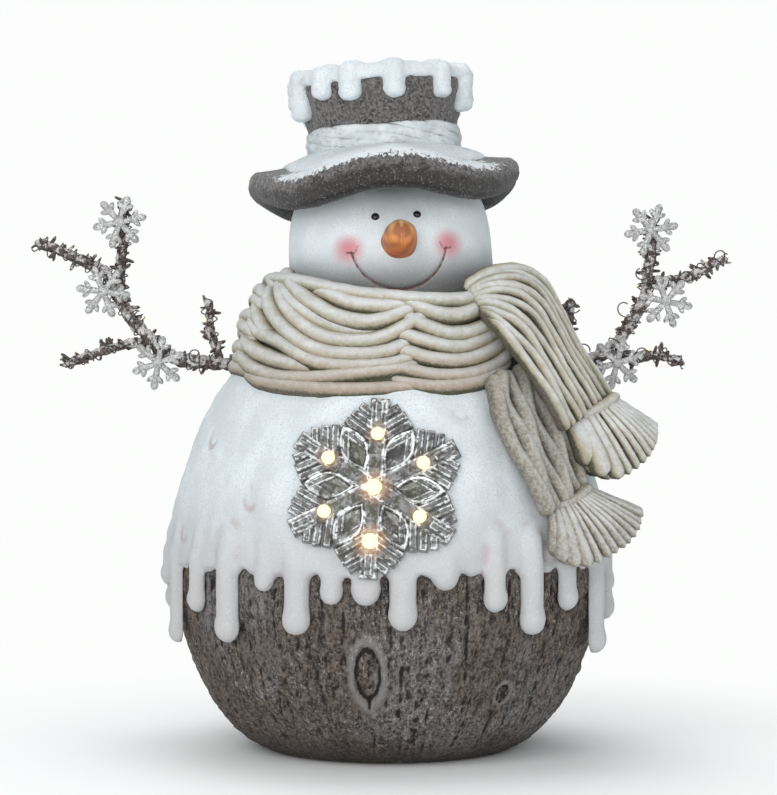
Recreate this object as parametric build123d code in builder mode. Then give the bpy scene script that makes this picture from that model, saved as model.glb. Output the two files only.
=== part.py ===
from build123d import *
import os
from math import asin, cos, degrees, radians, sin, sqrt, tan

os.makedirs("parts", exist_ok=True)

# A battery-lit snowman statue for a porch or a table: a hollow cast figure on a bark stump,
# a clear snowflake lit from behind, and two wired twig arms that plug into the shoulders.
# Millimetres. +Z is up, -Y is the front, and the origin is the middle of the flat underside.

# ---------------------------------------------------------------- driving dimensions
# Fits
glue_gap = 0.2            # bonded joints between castings
soft_gap = 0.3            # pieces that only lie on each other
scarf_gap = 0.6           # the scarf's castings and what they lie on
run_fit = 0.05            # radial clearance of a pin that turns
screw_fit = 0.05          # radial clearance of a screw in its pilot hole

# Snow body: an ellipse turned about Z
body_radius = 136.0
body_rise = 190.0         # from the waist to the ellipse's tip
waist_z = 95.0
body_wall = 8.0
neck_top_z = 256.0
neck_floor = 8.0
neck_bore_radius = 25.0

# Bark stump
foot_radius = 78.0
bowl_bulge = 15.5         # from the bowl's top edge in to its middle
bowl_mid_z = 27.0
ring_ledge = 10.5         # how far the ring stands out over the bowl
ring_bottom_z = 58.0
snow_lip = 4.0            # how far the snow's edge stands out over the ring
ring_chamfer = 3.0
stump_top_z = 122.0
stump_wall = 7.0
inner_ring_z = 72.0

# Base plate
plate_radius = 66.0
plate_thickness = 4.0
plate_ledge_width = 8.0
plate_ledge_thickness = 8.0
plate_screw_count = 4
plate_screw_radius = 1.5
plate_screw_head_radius = 2.8
plate_screw_length = 10.0
plate_screw_sink = 0.5

# Snow skirt and its drips: azimuth from the front (degrees), width, height of the tip
skirt_z = 113.0
drip_top_z = 124.0
drips = [
    (-71, 13, 68), (-57, 13, 89), (-44, 16, 74), (-32, 12, 104), (-23, 16, 81),
    (-14, 13, 98), (-5.5, 16, 98), (3.5, 16, 84), (14, 15, 106), (27, 14, 93),
    (38, 16, 79), (51, 14, 91), (67, 15, 63), (81, 13, 96), (93, 15, 77),
    (106, 14, 101), (118, 16, 84), (131, 13, 95), (143, 14, 72), (-85, 14, 99),
    (-97, 15, 82), (-110, 13, 97), (-121, 16, 75), (-133, 14, 93), (-145, 13, 86),
]

# Head
head_radius = 62.5
head_x = 2.0
head_z = 288.0
head_wall = 5.0
spigot_depth = 12.0
head_lean = 3.4           # degrees, right side up
face_turn = 5.0           # degrees, towards +X

# Face
eye_radius = 2.6
eye_azimuth = 13.5
eye_height = 33.0
nose_radius = 9.6
nose_tip_radius = 5.0
nose_length = 24.0
nose_height = 17.0
nose_peg_radius = 3.0
nose_peg_length = 6.0

# Hat, measured from the head's centre along its leaning axis
hat_seat_rise = 3.5       # the crown's seat over the top of the head
brim_radius = 84.0
brim_drop = 18.0          # from the crown's seat down to the rim's underside
brim_rim_thickness = 12.0
brim_snow_thickness = 3.0
brim_snow_radius = 76.0
crown_bottom_radius = 44.0
crown_waist_flare = 1.5   # from the crown's foot out to its waist
crown_top_flare = 7.5     # from its waist out to its top
crown_waist_share = 0.45  # of the crown's height
crown_height = 56.0
crown_wall = 5.0
band_rise = 11.0          # over the crown's seat
band_bite = 2.5           # into the crown
band_height = 14.0
band_thickness = 5.0
cap_thickness = 8.0
cap_overhang = 5.0
cap_skirt = 10.0
cap_shoulder = 14.0       # from the cap's edge in to the end of its flat top
cap_edge_drop = 7.0       # from the crown's top down to the cap's widest part
cap_edge_taper = 4.0
cap_drip_sink = 1.5       # how far a drip's axis lies inside the crown's edge
# Azimuth from the front, width, and length below the crown's top
cap_drips = [
    (-66, 12, 26), (-42, 13, 17), (-21, 12, 20), (10, 13, 18), (42, 11, 17),
    (67, 12, 25), (95, 13, 19), (121, 11, 24), (150, 13, 17), (178, 12, 23),
    (-150, 12, 19), (-121, 13, 24), (-93, 11, 18),
]

# Scarf
wrap_bottom_z = 216.0
wrap_top_z = 290.0
wrap_mid_rise = 26.0      # from the lower edge to the fullest part
wrap_thickness = 9.8      # over the snow, at the fullest part
wrap_foot_proud = 1.65    # over the snow, at the lower edge
tail_thickness = 15.0
tail_back_y = -14.0
fringe_gather_width = 30.0
upper_fringe_width = 66.0
lower_fringe_width = 62.0
fringe_gather_depth = 16.0
fringe_end_depth = 20.0

# Snowflake on the chest
flake_azimuth = -3.7
flake_z = 161.0
flake_tilt = 16.0
flake_radius = 53.0
flake_thickness = 9.5
flake_sink = 1.0          # how far its face lies under the snow's crown
flake_lean = -3.0
flake_bar_width = 10.5
flake_branch_width = 7.0
flake_branch_length = 15.0
flake_branch_start = 29.0
flake_branch_angle = 55.0
flake_petal_circle = 23.0
flake_petal_radius = 13.0
pocket_radius = 54.5
pocket_back = 4.0
pocket_pad_radius = 57.5

# LEDs behind the snowflake
led_radius = 2.5
led_flange_radius = 2.9
led_flange_height = 1.0
led_length = 8.6
led_ring_radius = 31.0
led_hole_fit = 0.2
led_board_radius = 36.0
board_thickness = 1.6
board_screw_circle = 18.0
board_screw_radius = 1.1
board_screw_head_radius = 2.2
board_screw_head = 1.2
board_screw_bite = 3.4

# Battery housing in the back of the stump
panel_inset = 15.0        # from the snow's widest part in to the panel's face
panel_half_width = 52.0
panel_bottom_z = 64.0
panel_top_z = 118.0
panel_flange = 3.5
panel_frame_margin = 4.0
panel_frame_depth = 9.5
housing_wall = 2.0
housing_fit = 0.4
bay_left_x = -32.0
cell_radius = 7.2
cell_length = 50.5
cell_nub_radius = 2.75
cell_nub_length = 1.0
cell_pitch = 15.0
cell_count = 3
cell_depth_room = 0.4
contact_thickness = 0.5
contact_size = 9.0
spring_length = 5.5
spring_radius = 4.5
spring_tip_radius = 2.6
housing_screw_radius = 1.25
housing_screw_head_radius = 2.2
housing_screw_head = 1.5
housing_screw_length = 8.0
housing_screw_x = 48.2
housing_screw_inset = 4.0

# Battery door
door_thickness = 2.0
door_gap = 0.3
door_ledge_side = 4.0
door_ledge_screw = 8.0
door_ledge_end = 2.3
door_pin_radius = 0.9
door_pin_length = 1.5
door_screw_radius = 1.25
door_screw_head_radius = 2.5
door_screw_head = 1.0
door_screw_length = 4.5
door_screw_inset = 4.0
door_boss_hole_fit = 0.25
door_boss_depth = 9.0

# Slide switch with three positions
switch_bay_x = 34.8
switch_bay_width = 10.0
switch_knob_width = 3.6
switch_knob_height = 4.0
switch_knob_proud = 1.2
switch_travel = 4.0
switch_slot_gap = 0.3
switch_shoe_height = 9.0
switch_shoe_width = 7.0
switch_shoe_thickness = 2.5
switch_body_height = 22.0
timer_board_depth = 17.0  # behind the panel's face
timer_board_gap = 0.3
chip_size = 6.0
chip_height = 1.4

# Arm sockets and arms: the peg's axis is parallel to X
arm_z = 235.0
arm_y = 8.0
socket_radius = 7.0
socket_inset = 1.0        # from the scarf's fullest radius in to the socket's mouth
socket_length = 23.0
socket_bed = 8.0          # room cut in the snow behind the socket
peg_radius = 4.0
peg_length = 17.0
collar_radius = 5.5
collar_length = 3.0
branch_radius = 3.5
twig_radius = 2.7
short_twig_radius = 2.3
mini_flake_radius = 16.5
mini_flake_bar = 2.6
mini_flake_thickness = 3.0
light_radius = 1.7
wire_radius = 0.5

# Leads inside the figure
lead_radius = 1.0


# ---------------------------------------------------------------- shared shapes
def bend_radii(points):
    """The radius of the arc at each inner point of a route: as large as its two runs allow."""
    radii = []
    for before, here, after in zip(points, points[1:], points[2:]):
        run_in = Vector(*here) - Vector(*before)
        run_out = Vector(*after) - Vector(*here)
        turn = radians(run_in.get_angle(run_out))
        radii.append(0.45 * min(run_in.length, run_out.length) / tan(turn / 2))
    return radii


def snow_radius(height, inset=0.0):
    """Radius of the snow body at a height, inset from its surface."""
    share = (height - waist_z) / (body_rise - inset)
    return (body_radius - inset) * sqrt(1 - share * share)


def snow_angle(height, inset=0.0):
    """Where a height lies along the snow body's ellipse, in degrees."""
    return degrees(asin((height - waist_z) / (body_rise - inset)))


def snow_envelope(gap):
    """Everything inside the snow surface, grown by a gap."""
    with BuildPart() as envelope:
        with BuildSketch(Plane.XZ):
            with BuildLine():
                EllipticalCenterArc((0, waist_z), body_radius + gap, body_rise + gap,
                                    start_angle=0, arc_size=90)
                Line((0, waist_z + body_rise + gap), (0, 0))
                Line((0, 0), (body_radius + gap, 0))
                Line((body_radius + gap, 0), (body_radius + gap, waist_z))
            make_face()
        revolve(axis=Axis.Z)
    return envelope.part


def head_envelope(gap):
    """The whole ball of the head, grown by a gap."""
    with BuildPart() as envelope:
        with Locations((head_x, 0, head_z)):
            Sphere(head_radius + gap)
    return envelope.part


def arm_axis(side):
    """The plane of an arm's socket: its normal points out of the shoulder."""
    return Plane(origin=(0, arm_y, arm_z), x_dir=(0, 0, 1), z_dir=(side, 0, 0))


def tube(points, radius):
    """A round tube along straight runs joined by arcs."""
    with BuildPart() as made:
        with BuildLine() as route:
            FilletPolyline(*points, radius=bend_radii(points))
        with BuildSketch(Plane(origin=route.line @ 0, z_dir=route.line % 0)):
            Circle(radius)
        sweep()
    return made.part


# Leaning frame of the head and hat, and the direction that the face looks in
lean = radians(head_lean)
head_frame = Plane(origin=(head_x, 0, head_z), x_dir=(cos(lean), 0, sin(lean)),
                   z_dir=(-sin(lean), 0, cos(lean)))


def face_plane(azimuth, height, outset):
    """A plane on the face, with its normal straight out of the head."""
    across = radians(azimuth + face_turn)
    level = sqrt(head_radius ** 2 - height ** 2)
    local = Vector(level * sin(across), -level * cos(across), height)
    centre = head_frame.origin
    point = head_frame.from_local_coords(local * ((head_radius + outset) / head_radius))
    return Plane(origin=point, z_dir=(point - centre).normalized())


# Sizes that follow from the snow body
ring_radius = body_radius - snow_lip
bowl_top_radius = ring_radius - ring_ledge
bowl_mid_radius = bowl_top_radius - bowl_bulge
wrap_foot_radius = snow_radius(wrap_bottom_z) + wrap_foot_proud
wrap_radius = snow_radius(wrap_bottom_z + wrap_mid_rise) + wrap_thickness
socket_mouth_x = wrap_radius - socket_inset
socket_back_x = socket_mouth_x - socket_length
panel_y = body_radius - panel_inset
timer_board_y = panel_y - timer_board_depth

# The snowflake's plane, with its origin on the snow's crown
flake_out = radians(flake_azimuth)
flake_up = radians(flake_tilt)
flake_front_radius = snow_radius(flake_z)
flake_face = Plane(
    origin=(flake_front_radius * sin(flake_out), -flake_front_radius * cos(flake_out), flake_z),
    x_dir=(cos(flake_out), sin(flake_out), 0),
    z_dir=(sin(flake_out) * cos(flake_up), -cos(flake_out) * cos(flake_up), sin(flake_up)),
)
flake_back = flake_face.offset(-flake_sink - flake_thickness)
pad_back = flake_back.offset(-pocket_back)

# Base screws
screw_circle = plate_radius - plate_ledge_width / 2
head_cone_height = plate_screw_head_radius - plate_screw_radius

# Battery housing sizes that follow from the cells
seat_y = panel_y - panel_flange
bay_right_x = bay_left_x + cell_length + spring_length + 2 * contact_thickness
bay_height = (cell_count - 1) * cell_pitch + 2 * cell_radius + 0.6
panel_mid_z = (panel_bottom_z + panel_top_z) / 2
bay_bottom_z = panel_mid_z - bay_height / 2
bay_top_z = panel_mid_z + bay_height / 2
door_back_y = panel_y - door_thickness
bay_back_y = door_back_y - cell_depth_room * 2 - 2 * cell_radius
cell_y = door_back_y - cell_depth_room - cell_radius
housing_back_y = bay_back_y - housing_wall
housing_left_x = bay_left_x - housing_wall
housing_right_x = switch_bay_x + switch_bay_width + 0.4
housing_bottom_z = bay_bottom_z - housing_wall
housing_top_z = bay_top_z + housing_wall
rebate_left_x = bay_left_x - door_ledge_side
rebate_right_x = bay_right_x + door_ledge_screw
rebate_bottom_z = bay_bottom_z - door_ledge_end
rebate_top_z = bay_top_z + door_ledge_end
hinge_x = rebate_left_x + door_gap + door_thickness / 2
hinge_y = panel_y - door_thickness / 2
door_screw_x = rebate_right_x - door_screw_inset
switch_x = switch_bay_x + switch_bay_width / 2
switch_low_z = panel_mid_z - switch_travel / 2
housing_screw_z = [panel_bottom_z + housing_screw_inset, panel_top_z - housing_screw_inset]


def box_between(low, high):
    """A plain block from its lowest corner to its highest."""
    with BuildPart() as block:
        with Locations(low):
            Box(*(b - a for a, b in zip(low, high)), align=(Align.MIN, Align.MIN, Align.MIN))
    return block.part


panel_pocket = box_between(
    (-panel_half_width - door_gap, seat_y, panel_bottom_z - door_gap),
    (panel_half_width + door_gap, body_radius + 20, panel_top_z + door_gap),
)


def pad_tool(gap):
    """The round pad behind the snowflake, grown by a gap and run out past the snow."""
    with BuildPart() as pad:
        with BuildSketch(pad_back.offset(-gap)):
            Circle(pocket_pad_radius + gap)
        extrude(amount=pocket_back + flake_thickness + body_wall + gap)
    return pad.part


# ---------------------------------------------------------------- stump and base
with BuildPart() as stump_shell:
    with BuildSketch(Plane.XZ):
        with BuildLine():
            ThreePointArc((foot_radius, 0), (bowl_mid_radius, bowl_mid_z),
                          (bowl_top_radius, ring_bottom_z))
            Polyline(
                (bowl_top_radius, ring_bottom_z),
                (ring_radius - ring_chamfer, ring_bottom_z),
                (ring_radius, ring_bottom_z + ring_chamfer),
                (ring_radius, stump_top_z),
                (ring_radius - stump_wall, stump_top_z),
                (ring_radius - stump_wall, inner_ring_z),
                (bowl_top_radius - stump_wall, ring_bottom_z),
            )
            ThreePointArc(
                (bowl_top_radius - stump_wall, ring_bottom_z),
                (bowl_mid_radius - stump_wall, bowl_mid_z + stump_wall * 0.6),
                (foot_radius - stump_wall * 0.4, plate_thickness + plate_ledge_thickness),
            )
            Polyline(
                (foot_radius - stump_wall * 0.4, plate_thickness + plate_ledge_thickness),
                (plate_radius - plate_ledge_width, plate_thickness + plate_ledge_thickness),
                (plate_radius - plate_ledge_width, plate_thickness),
                (plate_radius + glue_gap, plate_thickness),
                (plate_radius + glue_gap, 0),
                (foot_radius, 0),
            )
        make_face()
    revolve(axis=Axis.Z)
    with BuildSketch(Plane.XY.offset(panel_bottom_z - panel_frame_margin)):
        Circle(ring_radius - stump_wall / 2)
        with Locations((0, seat_y - panel_frame_depth)):
            Rectangle(2 * (panel_half_width + panel_frame_margin), body_radius,
                      align=(Align.CENTER, Align.MIN), mode=Mode.INTERSECT)
    extrude(amount=stump_top_z - panel_bottom_z + panel_frame_margin)
    add(pad_tool(glue_gap), mode=Mode.SUBTRACT)
    add(panel_pocket, mode=Mode.SUBTRACT)
    add(box_between(
        (housing_left_x - housing_fit, 0, housing_bottom_z - housing_fit),
        (housing_right_x + housing_fit, body_radius, housing_top_z + housing_fit),
    ), mode=Mode.SUBTRACT)
    for screw_z in housing_screw_z:
        with BuildSketch(Plane((0, seat_y, screw_z), x_dir=(1, 0, 0), z_dir=(0, 1, 0))):
            with Locations((-housing_screw_x, 0), (housing_screw_x, 0)):
                Circle(housing_screw_radius + screw_fit)
        extrude(amount=-housing_screw_length, mode=Mode.SUBTRACT)
    with BuildSketch(Plane.XY.offset(plate_thickness)):
        with PolarLocations(screw_circle, plate_screw_count, 45):
            Circle(plate_screw_radius + screw_fit)
    extrude(amount=plate_ledge_thickness, mode=Mode.SUBTRACT)

with BuildPart() as base_plate:
    Cylinder(plate_radius, plate_thickness, align=(Align.CENTER, Align.CENTER, Align.MIN))
    with BuildSketch():
        with PolarLocations(screw_circle, plate_screw_count, 45):
            Circle(plate_screw_head_radius + screw_fit)
    extrude(amount=plate_screw_sink, mode=Mode.SUBTRACT)
    with PolarLocations(screw_circle, plate_screw_count, 45):
        with Locations((0, 0, plate_screw_sink)):
            Cone(plate_screw_head_radius + screw_fit, plate_screw_radius + screw_fit,
                 head_cone_height, align=(Align.CENTER, Align.CENTER, Align.MIN),
                 mode=Mode.SUBTRACT)
    with BuildSketch():
        with PolarLocations(screw_circle, plate_screw_count, 45):
            Circle(plate_screw_radius + screw_fit)
    extrude(amount=plate_thickness, mode=Mode.SUBTRACT)

with BuildPart() as base_screws:
    with PolarLocations(screw_circle, plate_screw_count, 45):
        with Locations((0, 0, plate_screw_sink)):
            Cone(plate_screw_head_radius, plate_screw_radius, head_cone_height,
                 align=(Align.CENTER, Align.CENTER, Align.MIN))
            Cylinder(plate_screw_radius, plate_screw_length,
                     align=(Align.CENTER, Align.CENTER, Align.MIN))

# ---------------------------------------------------------------- snow body
with BuildPart() as drip_columns:
    for azimuth, width, tip_z in drips:
        out = radians(azimuth)
        foot = (ring_radius * sin(out), -ring_radius * cos(out), tip_z + width / 2)
        with Locations(foot):
            Sphere(width / 2)
            Cylinder(width / 2, drip_top_z - foot[2], align=(Align.CENTER, Align.CENTER, Align.MIN))
        with Locations((foot[0], foot[1], drip_top_z)):
            Sphere(width / 2)
    Cylinder(ring_radius + glue_gap, stump_top_z * 3, mode=Mode.SUBTRACT)

inner_start = snow_angle(stump_top_z, body_wall)
inner_end = snow_angle(neck_top_z - neck_floor, body_wall)

with BuildPart() as snow_mantle:
    with BuildSketch(Plane.XZ):
        with BuildLine():
            EllipticalCenterArc((0, waist_z), body_radius, body_rise,
                                start_angle=snow_angle(skirt_z),
                                arc_size=snow_angle(neck_top_z) - snow_angle(skirt_z))
            Polyline(
                (snow_radius(neck_top_z), neck_top_z),
                (neck_bore_radius, neck_top_z),
                (neck_bore_radius, neck_top_z - neck_floor),
                (snow_radius(neck_top_z - neck_floor, body_wall), neck_top_z - neck_floor),
            )
            EllipticalCenterArc((0, waist_z), body_radius - body_wall, body_rise - body_wall,
                                start_angle=inner_start, arc_size=inner_end - inner_start)
            Polyline(
                (snow_radius(stump_top_z, body_wall), stump_top_z),
                (ring_radius + glue_gap, stump_top_z),
                (ring_radius + glue_gap, skirt_z),
                (snow_radius(skirt_z), skirt_z),
            )
        make_face()
    revolve(axis=Axis.Z)
    add(drip_columns.part)
    with BuildPart(mode=Mode.PRIVATE) as chest_pad:
        add(pad_tool(0))
        add(snow_envelope(0), mode=Mode.INTERSECT)
    add(chest_pad.part)
    with BuildSketch(flake_back):
        Circle(pocket_radius)
    extrude(amount=4 * flake_thickness, mode=Mode.SUBTRACT)
    with BuildSketch(flake_back):
        Circle(led_flange_radius + led_hole_fit)
        with PolarLocations(led_ring_radius, 6, 90 + flake_lean):
            Circle(led_flange_radius + led_hole_fit)
    extrude(amount=-pocket_back, mode=Mode.SUBTRACT)
    with BuildSketch(pad_back):
        with PolarLocations(board_screw_circle, 3):
            Circle(board_screw_radius + screw_fit)
    extrude(amount=board_screw_bite, mode=Mode.SUBTRACT)
    add(panel_pocket, mode=Mode.SUBTRACT)
    for side in (-1, 1):
        with BuildSketch(arm_axis(side).offset(socket_back_x - socket_bed)):
            Circle(socket_radius + glue_gap)
        extrude(amount=body_radius - socket_back_x, mode=Mode.SUBTRACT)

# ---------------------------------------------------------------- head and face
face_points = [(-eye_azimuth, eye_height), (eye_azimuth, eye_height)]
nose_plane = face_plane(0, nose_height, 0)

with BuildPart() as head_shell:
    add(head_envelope(0))
    with BuildSketch(Plane.XY.offset(neck_top_z)):
        Circle(2 * head_radius)
    extrude(amount=-2 * head_radius, mode=Mode.SUBTRACT)
    with BuildPart(mode=Mode.PRIVATE) as head_hollow:
        add(head_envelope(-head_wall))
        with BuildSketch(Plane.XY.offset(neck_top_z + head_wall)):
            Circle(2 * head_radius)
        extrude(amount=-2 * head_radius, mode=Mode.SUBTRACT)
    add(head_hollow.part, mode=Mode.SUBTRACT)
    with BuildSketch(Plane.XY.offset(neck_top_z - spigot_depth)):
        Circle(neck_bore_radius - glue_gap)
    extrude(amount=spigot_depth)
    for azimuth, height in face_points:
        with Locations(face_plane(azimuth, height, 0).location):
            Sphere(eye_radius + glue_gap / 2, mode=Mode.SUBTRACT)
    with BuildSketch(nose_plane):
        Circle(nose_peg_radius + glue_gap)
    extrude(amount=-nose_peg_length, mode=Mode.SUBTRACT)

with BuildPart() as eye_beads:
    for azimuth, height in face_points:
        with Locations(face_plane(azimuth, height, 0).location):
            Sphere(eye_radius)

with BuildPart() as carrot_nose:
    with BuildSketch(nose_plane):
        Circle(nose_radius)
    with BuildSketch(nose_plane.offset(nose_length - nose_tip_radius)):
        Circle(nose_tip_radius)
    loft()
    with Locations(nose_plane.offset(nose_length - nose_tip_radius).location):
        Sphere(nose_tip_radius)
    with BuildSketch(nose_plane.offset(-nose_radius)):
        Circle(nose_radius)
    extrude(amount=nose_radius)
    add(head_envelope(glue_gap), mode=Mode.SUBTRACT)
    with BuildSketch(nose_plane.offset(-nose_peg_length + glue_gap)):
        Circle(nose_peg_radius)
    extrude(amount=nose_peg_length + glue_gap)

# ---------------------------------------------------------------- hat
hat_section = Plane(origin=head_frame.origin, x_dir=head_frame.x_dir, z_dir=-head_frame.y_dir)
hat_axis = Axis(head_frame.origin, head_frame.z_dir)
hat_seat_z = head_radius + hat_seat_rise
crown_mid_radius = crown_bottom_radius + crown_waist_flare
crown_top_radius = crown_mid_radius + crown_top_flare
crown_waist_z = hat_seat_z + crown_height * crown_waist_share
crown_top_z = hat_seat_z + crown_height
brim_inner_radius = crown_bottom_radius - crown_wall - 1

with BuildPart() as crown_envelope:
    with BuildSketch(hat_section):
        with BuildLine():
            ThreePointArc(
                (crown_bottom_radius, hat_seat_z),
                (crown_mid_radius, crown_waist_z),
                (crown_top_radius, crown_top_z),
            )
            Polyline((crown_top_radius, crown_top_z), (0, crown_top_z), (0, hat_seat_z),
                     (crown_bottom_radius, hat_seat_z))
        make_face()
    revolve(axis=hat_axis)

with BuildPart() as hat_crown:
    add(crown_envelope.part)
    with BuildSketch(hat_section):
        with BuildLine():
            ThreePointArc(
                (crown_bottom_radius - crown_wall, hat_seat_z),
                (crown_mid_radius - crown_wall, crown_waist_z),
                (crown_top_radius - crown_wall, crown_top_z - crown_wall),
            )
            Polyline((crown_top_radius - crown_wall, crown_top_z - crown_wall),
                     (0, crown_top_z - crown_wall), (0, hat_seat_z),
                     (crown_bottom_radius - crown_wall, hat_seat_z))
        make_face()
    revolve(axis=hat_axis, mode=Mode.SUBTRACT)

with BuildPart() as hat_brim:
    with BuildSketch(hat_section):
        with BuildLine():
            Polyline(
                (brim_inner_radius, hat_seat_z),
                (crown_bottom_radius + 6, hat_seat_z),
                (brim_radius, hat_seat_z - brim_drop + brim_rim_thickness),
                (brim_radius, hat_seat_z - brim_drop),
                (brim_inner_radius, hat_seat_z - brim_drop - 4),
                close=True,
            )
        make_face()
    revolve(axis=hat_axis)
    rim_edges = hat_brim.edges().filter_by(GeomType.CIRCLE).filter_by(
        lambda edge: abs(edge.radius - brim_radius) < 0.01)
    fillet(rim_edges, brim_rim_thickness * 0.42)
    add(head_envelope(soft_gap), mode=Mode.SUBTRACT)

rim_slope = (brim_drop - brim_rim_thickness) / (brim_radius - crown_bottom_radius - 6)
snow_edge_z = hat_seat_z - rim_slope * (brim_snow_radius - crown_bottom_radius - 6)

with BuildPart() as brim_snow:
    with BuildSketch(hat_section):
        with BuildLine():
            Polyline(
                (crown_bottom_radius - 2, hat_seat_z),
                (crown_bottom_radius + 6, hat_seat_z),
                (brim_snow_radius, snow_edge_z),
                (brim_snow_radius - 2, snow_edge_z + brim_snow_thickness),
                (crown_bottom_radius + 6, hat_seat_z + brim_snow_thickness * 1.6),
                (crown_bottom_radius - 2, hat_seat_z + brim_snow_thickness * 2),
                close=True,
            )
        make_face()
    revolve(axis=hat_axis)
    add(crown_envelope.part, mode=Mode.SUBTRACT)

with BuildPart() as hat_band:
    with BuildSketch(hat_section):
        with Locations((crown_mid_radius + band_thickness / 2 - band_bite,
                        hat_seat_z + band_rise + band_height / 2)):
            RectangleRounded(band_thickness + 4, band_height, band_thickness / 2)
    revolve(axis=hat_axis)
    add(crown_envelope.part, mode=Mode.SUBTRACT)

cap_radius = crown_top_radius + cap_overhang
with BuildPart() as hat_snow_cap:
    with BuildSketch(hat_section):
        with BuildLine():
            cap_turn = (cap_radius - cap_shoulder, crown_top_z + cap_thickness * 0.875)
            cap_widest = (cap_radius, crown_top_z - cap_edge_drop)
            Polyline((0, crown_top_z), (0, crown_top_z + cap_thickness), cap_turn)
            ThreePointArc(cap_turn, (cap_radius - cap_shoulder * 0.21,
                                     crown_top_z + cap_thickness * 0.375), cap_widest)
            Polyline(cap_widest, (cap_radius - cap_edge_taper, crown_top_z - cap_skirt),
                     (crown_top_radius - cap_edge_taper, crown_top_z - cap_skirt),
                     (crown_top_radius - cap_edge_taper, crown_top_z), (0, crown_top_z))
        make_face()
    revolve(axis=hat_axis)
    for azimuth, width, length in cap_drips:
        out = radians(azimuth)
        height = crown_top_z - length + width / 2
        for is_column in (False, True):
            level = head_frame.offset(height)
            reach = crown_top_radius - cap_drip_sink
            with Locations(Plane(
                origin=level.from_local_coords((reach * sin(out), -reach * cos(out), 0)),
                x_dir=level.x_dir, z_dir=level.z_dir,
            ).location):
                if is_column:
                    Cylinder(width / 2, crown_top_z - cap_skirt + 4 - height,
                             align=(Align.CENTER, Align.CENTER, Align.MIN))
                else:
                    Sphere(width / 2)
    add(crown_envelope.part, mode=Mode.SUBTRACT)
    add(head_envelope(0), mode=Mode.SUBTRACT)

# ---------------------------------------------------------------- scarf
def front_prism(outline, near_y):
    """A block with an outline seen from the front, from near_y forwards."""
    with BuildPart() as prism:
        with BuildSketch(Plane.XZ.offset(-near_y)):
            with BuildLine():
                Polyline(*outline, close=True)
            make_face()
        extrude(amount=2 * body_radius)
    return prism.part


with BuildPart() as scarf_ring:
    with BuildSketch(Plane.YZ):
        with BuildLine():
            Polyline(
                (wrap_radius - 36, wrap_bottom_z),
                (wrap_foot_radius - 3, wrap_bottom_z - 2),
                (wrap_foot_radius, wrap_bottom_z + 6),
                (wrap_radius + 1, wrap_bottom_z + wrap_mid_rise),
                (wrap_radius - 4, wrap_bottom_z + wrap_mid_rise + 18),
                (wrap_radius - 14, wrap_top_z - 8),
                (wrap_radius - 28, wrap_top_z),
                (wrap_radius - 56, wrap_top_z - 2),
                close=True,
            )
        make_face()
    revolve(axis=Axis.Z)

# The wrap's bore is round about the figure's axis and wide enough for the head, which sits
# a little to one side
with BuildPart() as scarf_wrap:
    add(scarf_ring.part)
    add(snow_envelope(scarf_gap), mode=Mode.SUBTRACT)
    with Locations((0, 0, head_z)):
        Sphere(head_radius + head_x + scarf_gap, mode=Mode.SUBTRACT)
    for side in (-1, 1):
        with BuildSketch(arm_axis(side).offset(socket_back_x)):
            Circle(socket_radius + scarf_gap)
        extrude(amount=body_radius, mode=Mode.SUBTRACT)

# Tail outlines from the front: (X from the wrap's fullest radius, height from the wrap's lower
# edge for the lower tail, and from its top for the upper tail and its turned profile)
lower_tail_outline = [
    (-28, 20), (-41, 0), (-29, -24), (-15, -48), (-6, -64),
    (26, -56), (31, -44), (20, -21), (12, -4), (-6, 16),
]
upper_tail_outline = [
    (-38, -2), (-17, 3), (-2, -6), (6, -17), (16, -35), (22, -51), (38, -74),
    (45, -83), (30, -92), (14, -78), (-4, -56), (-18, -36), (-30, -20),
]
upper_tail_profile = [
    (-36, -110), (52, -94), (50, -82), (31, -50), (22, -28), (4, 0), (-12, 8), (-46, 8),
]


def from_wrap(outline, level):
    """An outline's points, moved out to the wrap's fullest radius and up to a level of it."""
    return [(wrap_radius + x, level + rise) for x, rise in outline]


def over_snow(azimuth, height, proud):
    """A point in front of the snow body, at an azimuth from the front."""
    reach = snow_radius(height) + proud
    return (reach * sin(radians(azimuth)), -reach * cos(radians(azimuth)), height)


with BuildPart() as scarf_tail_lower:
    add(snow_envelope(tail_thickness))
    add(front_prism(from_wrap(lower_tail_outline, wrap_bottom_z), tail_back_y),
        mode=Mode.INTERSECT)
    add(snow_envelope(scarf_gap), mode=Mode.SUBTRACT)
    add(scarf_wrap.part, mode=Mode.SUBTRACT)

with BuildPart() as scarf_tail_upper:
    with BuildSketch(Plane.XZ):
        with BuildLine():
            Polyline(*from_wrap(upper_tail_profile, wrap_top_z), close=True)
        make_face()
    revolve(axis=Axis.Z)
    add(front_prism(from_wrap(upper_tail_outline, wrap_top_z), tail_back_y),
        mode=Mode.INTERSECT)
    add(snow_envelope(tail_thickness + scarf_gap), mode=Mode.SUBTRACT)
    add(head_envelope(scarf_gap), mode=Mode.SUBTRACT)
    add(scarf_ring.part, mode=Mode.SUBTRACT)

upper_gather = Plane(origin=over_snow(71.8, wrap_top_z - 87, 29.1),
                     x_dir=(0.86, -0.1, 0.5), z_dir=(0.45, -0.2, -0.87))
upper_end = Plane(origin=over_snow(70.4, wrap_top_z - 112, 32.7),
                  x_dir=(0.80, -0.1, 0.6), z_dir=(0.55, -0.15, -0.82))
lower_gather = Plane(origin=over_snow(51.6, wrap_bottom_z - 55, 14.1),
                     x_dir=(0.88, 0.3, 0.36), z_dir=(0.2, -0.1, -0.97))
lower_end = Plane(origin=over_snow(55.3, wrap_bottom_z - 88, 17.0),
                  x_dir=(0.75, 0.5, 0.43), z_dir=(0.4, -0.1, -0.91))


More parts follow.
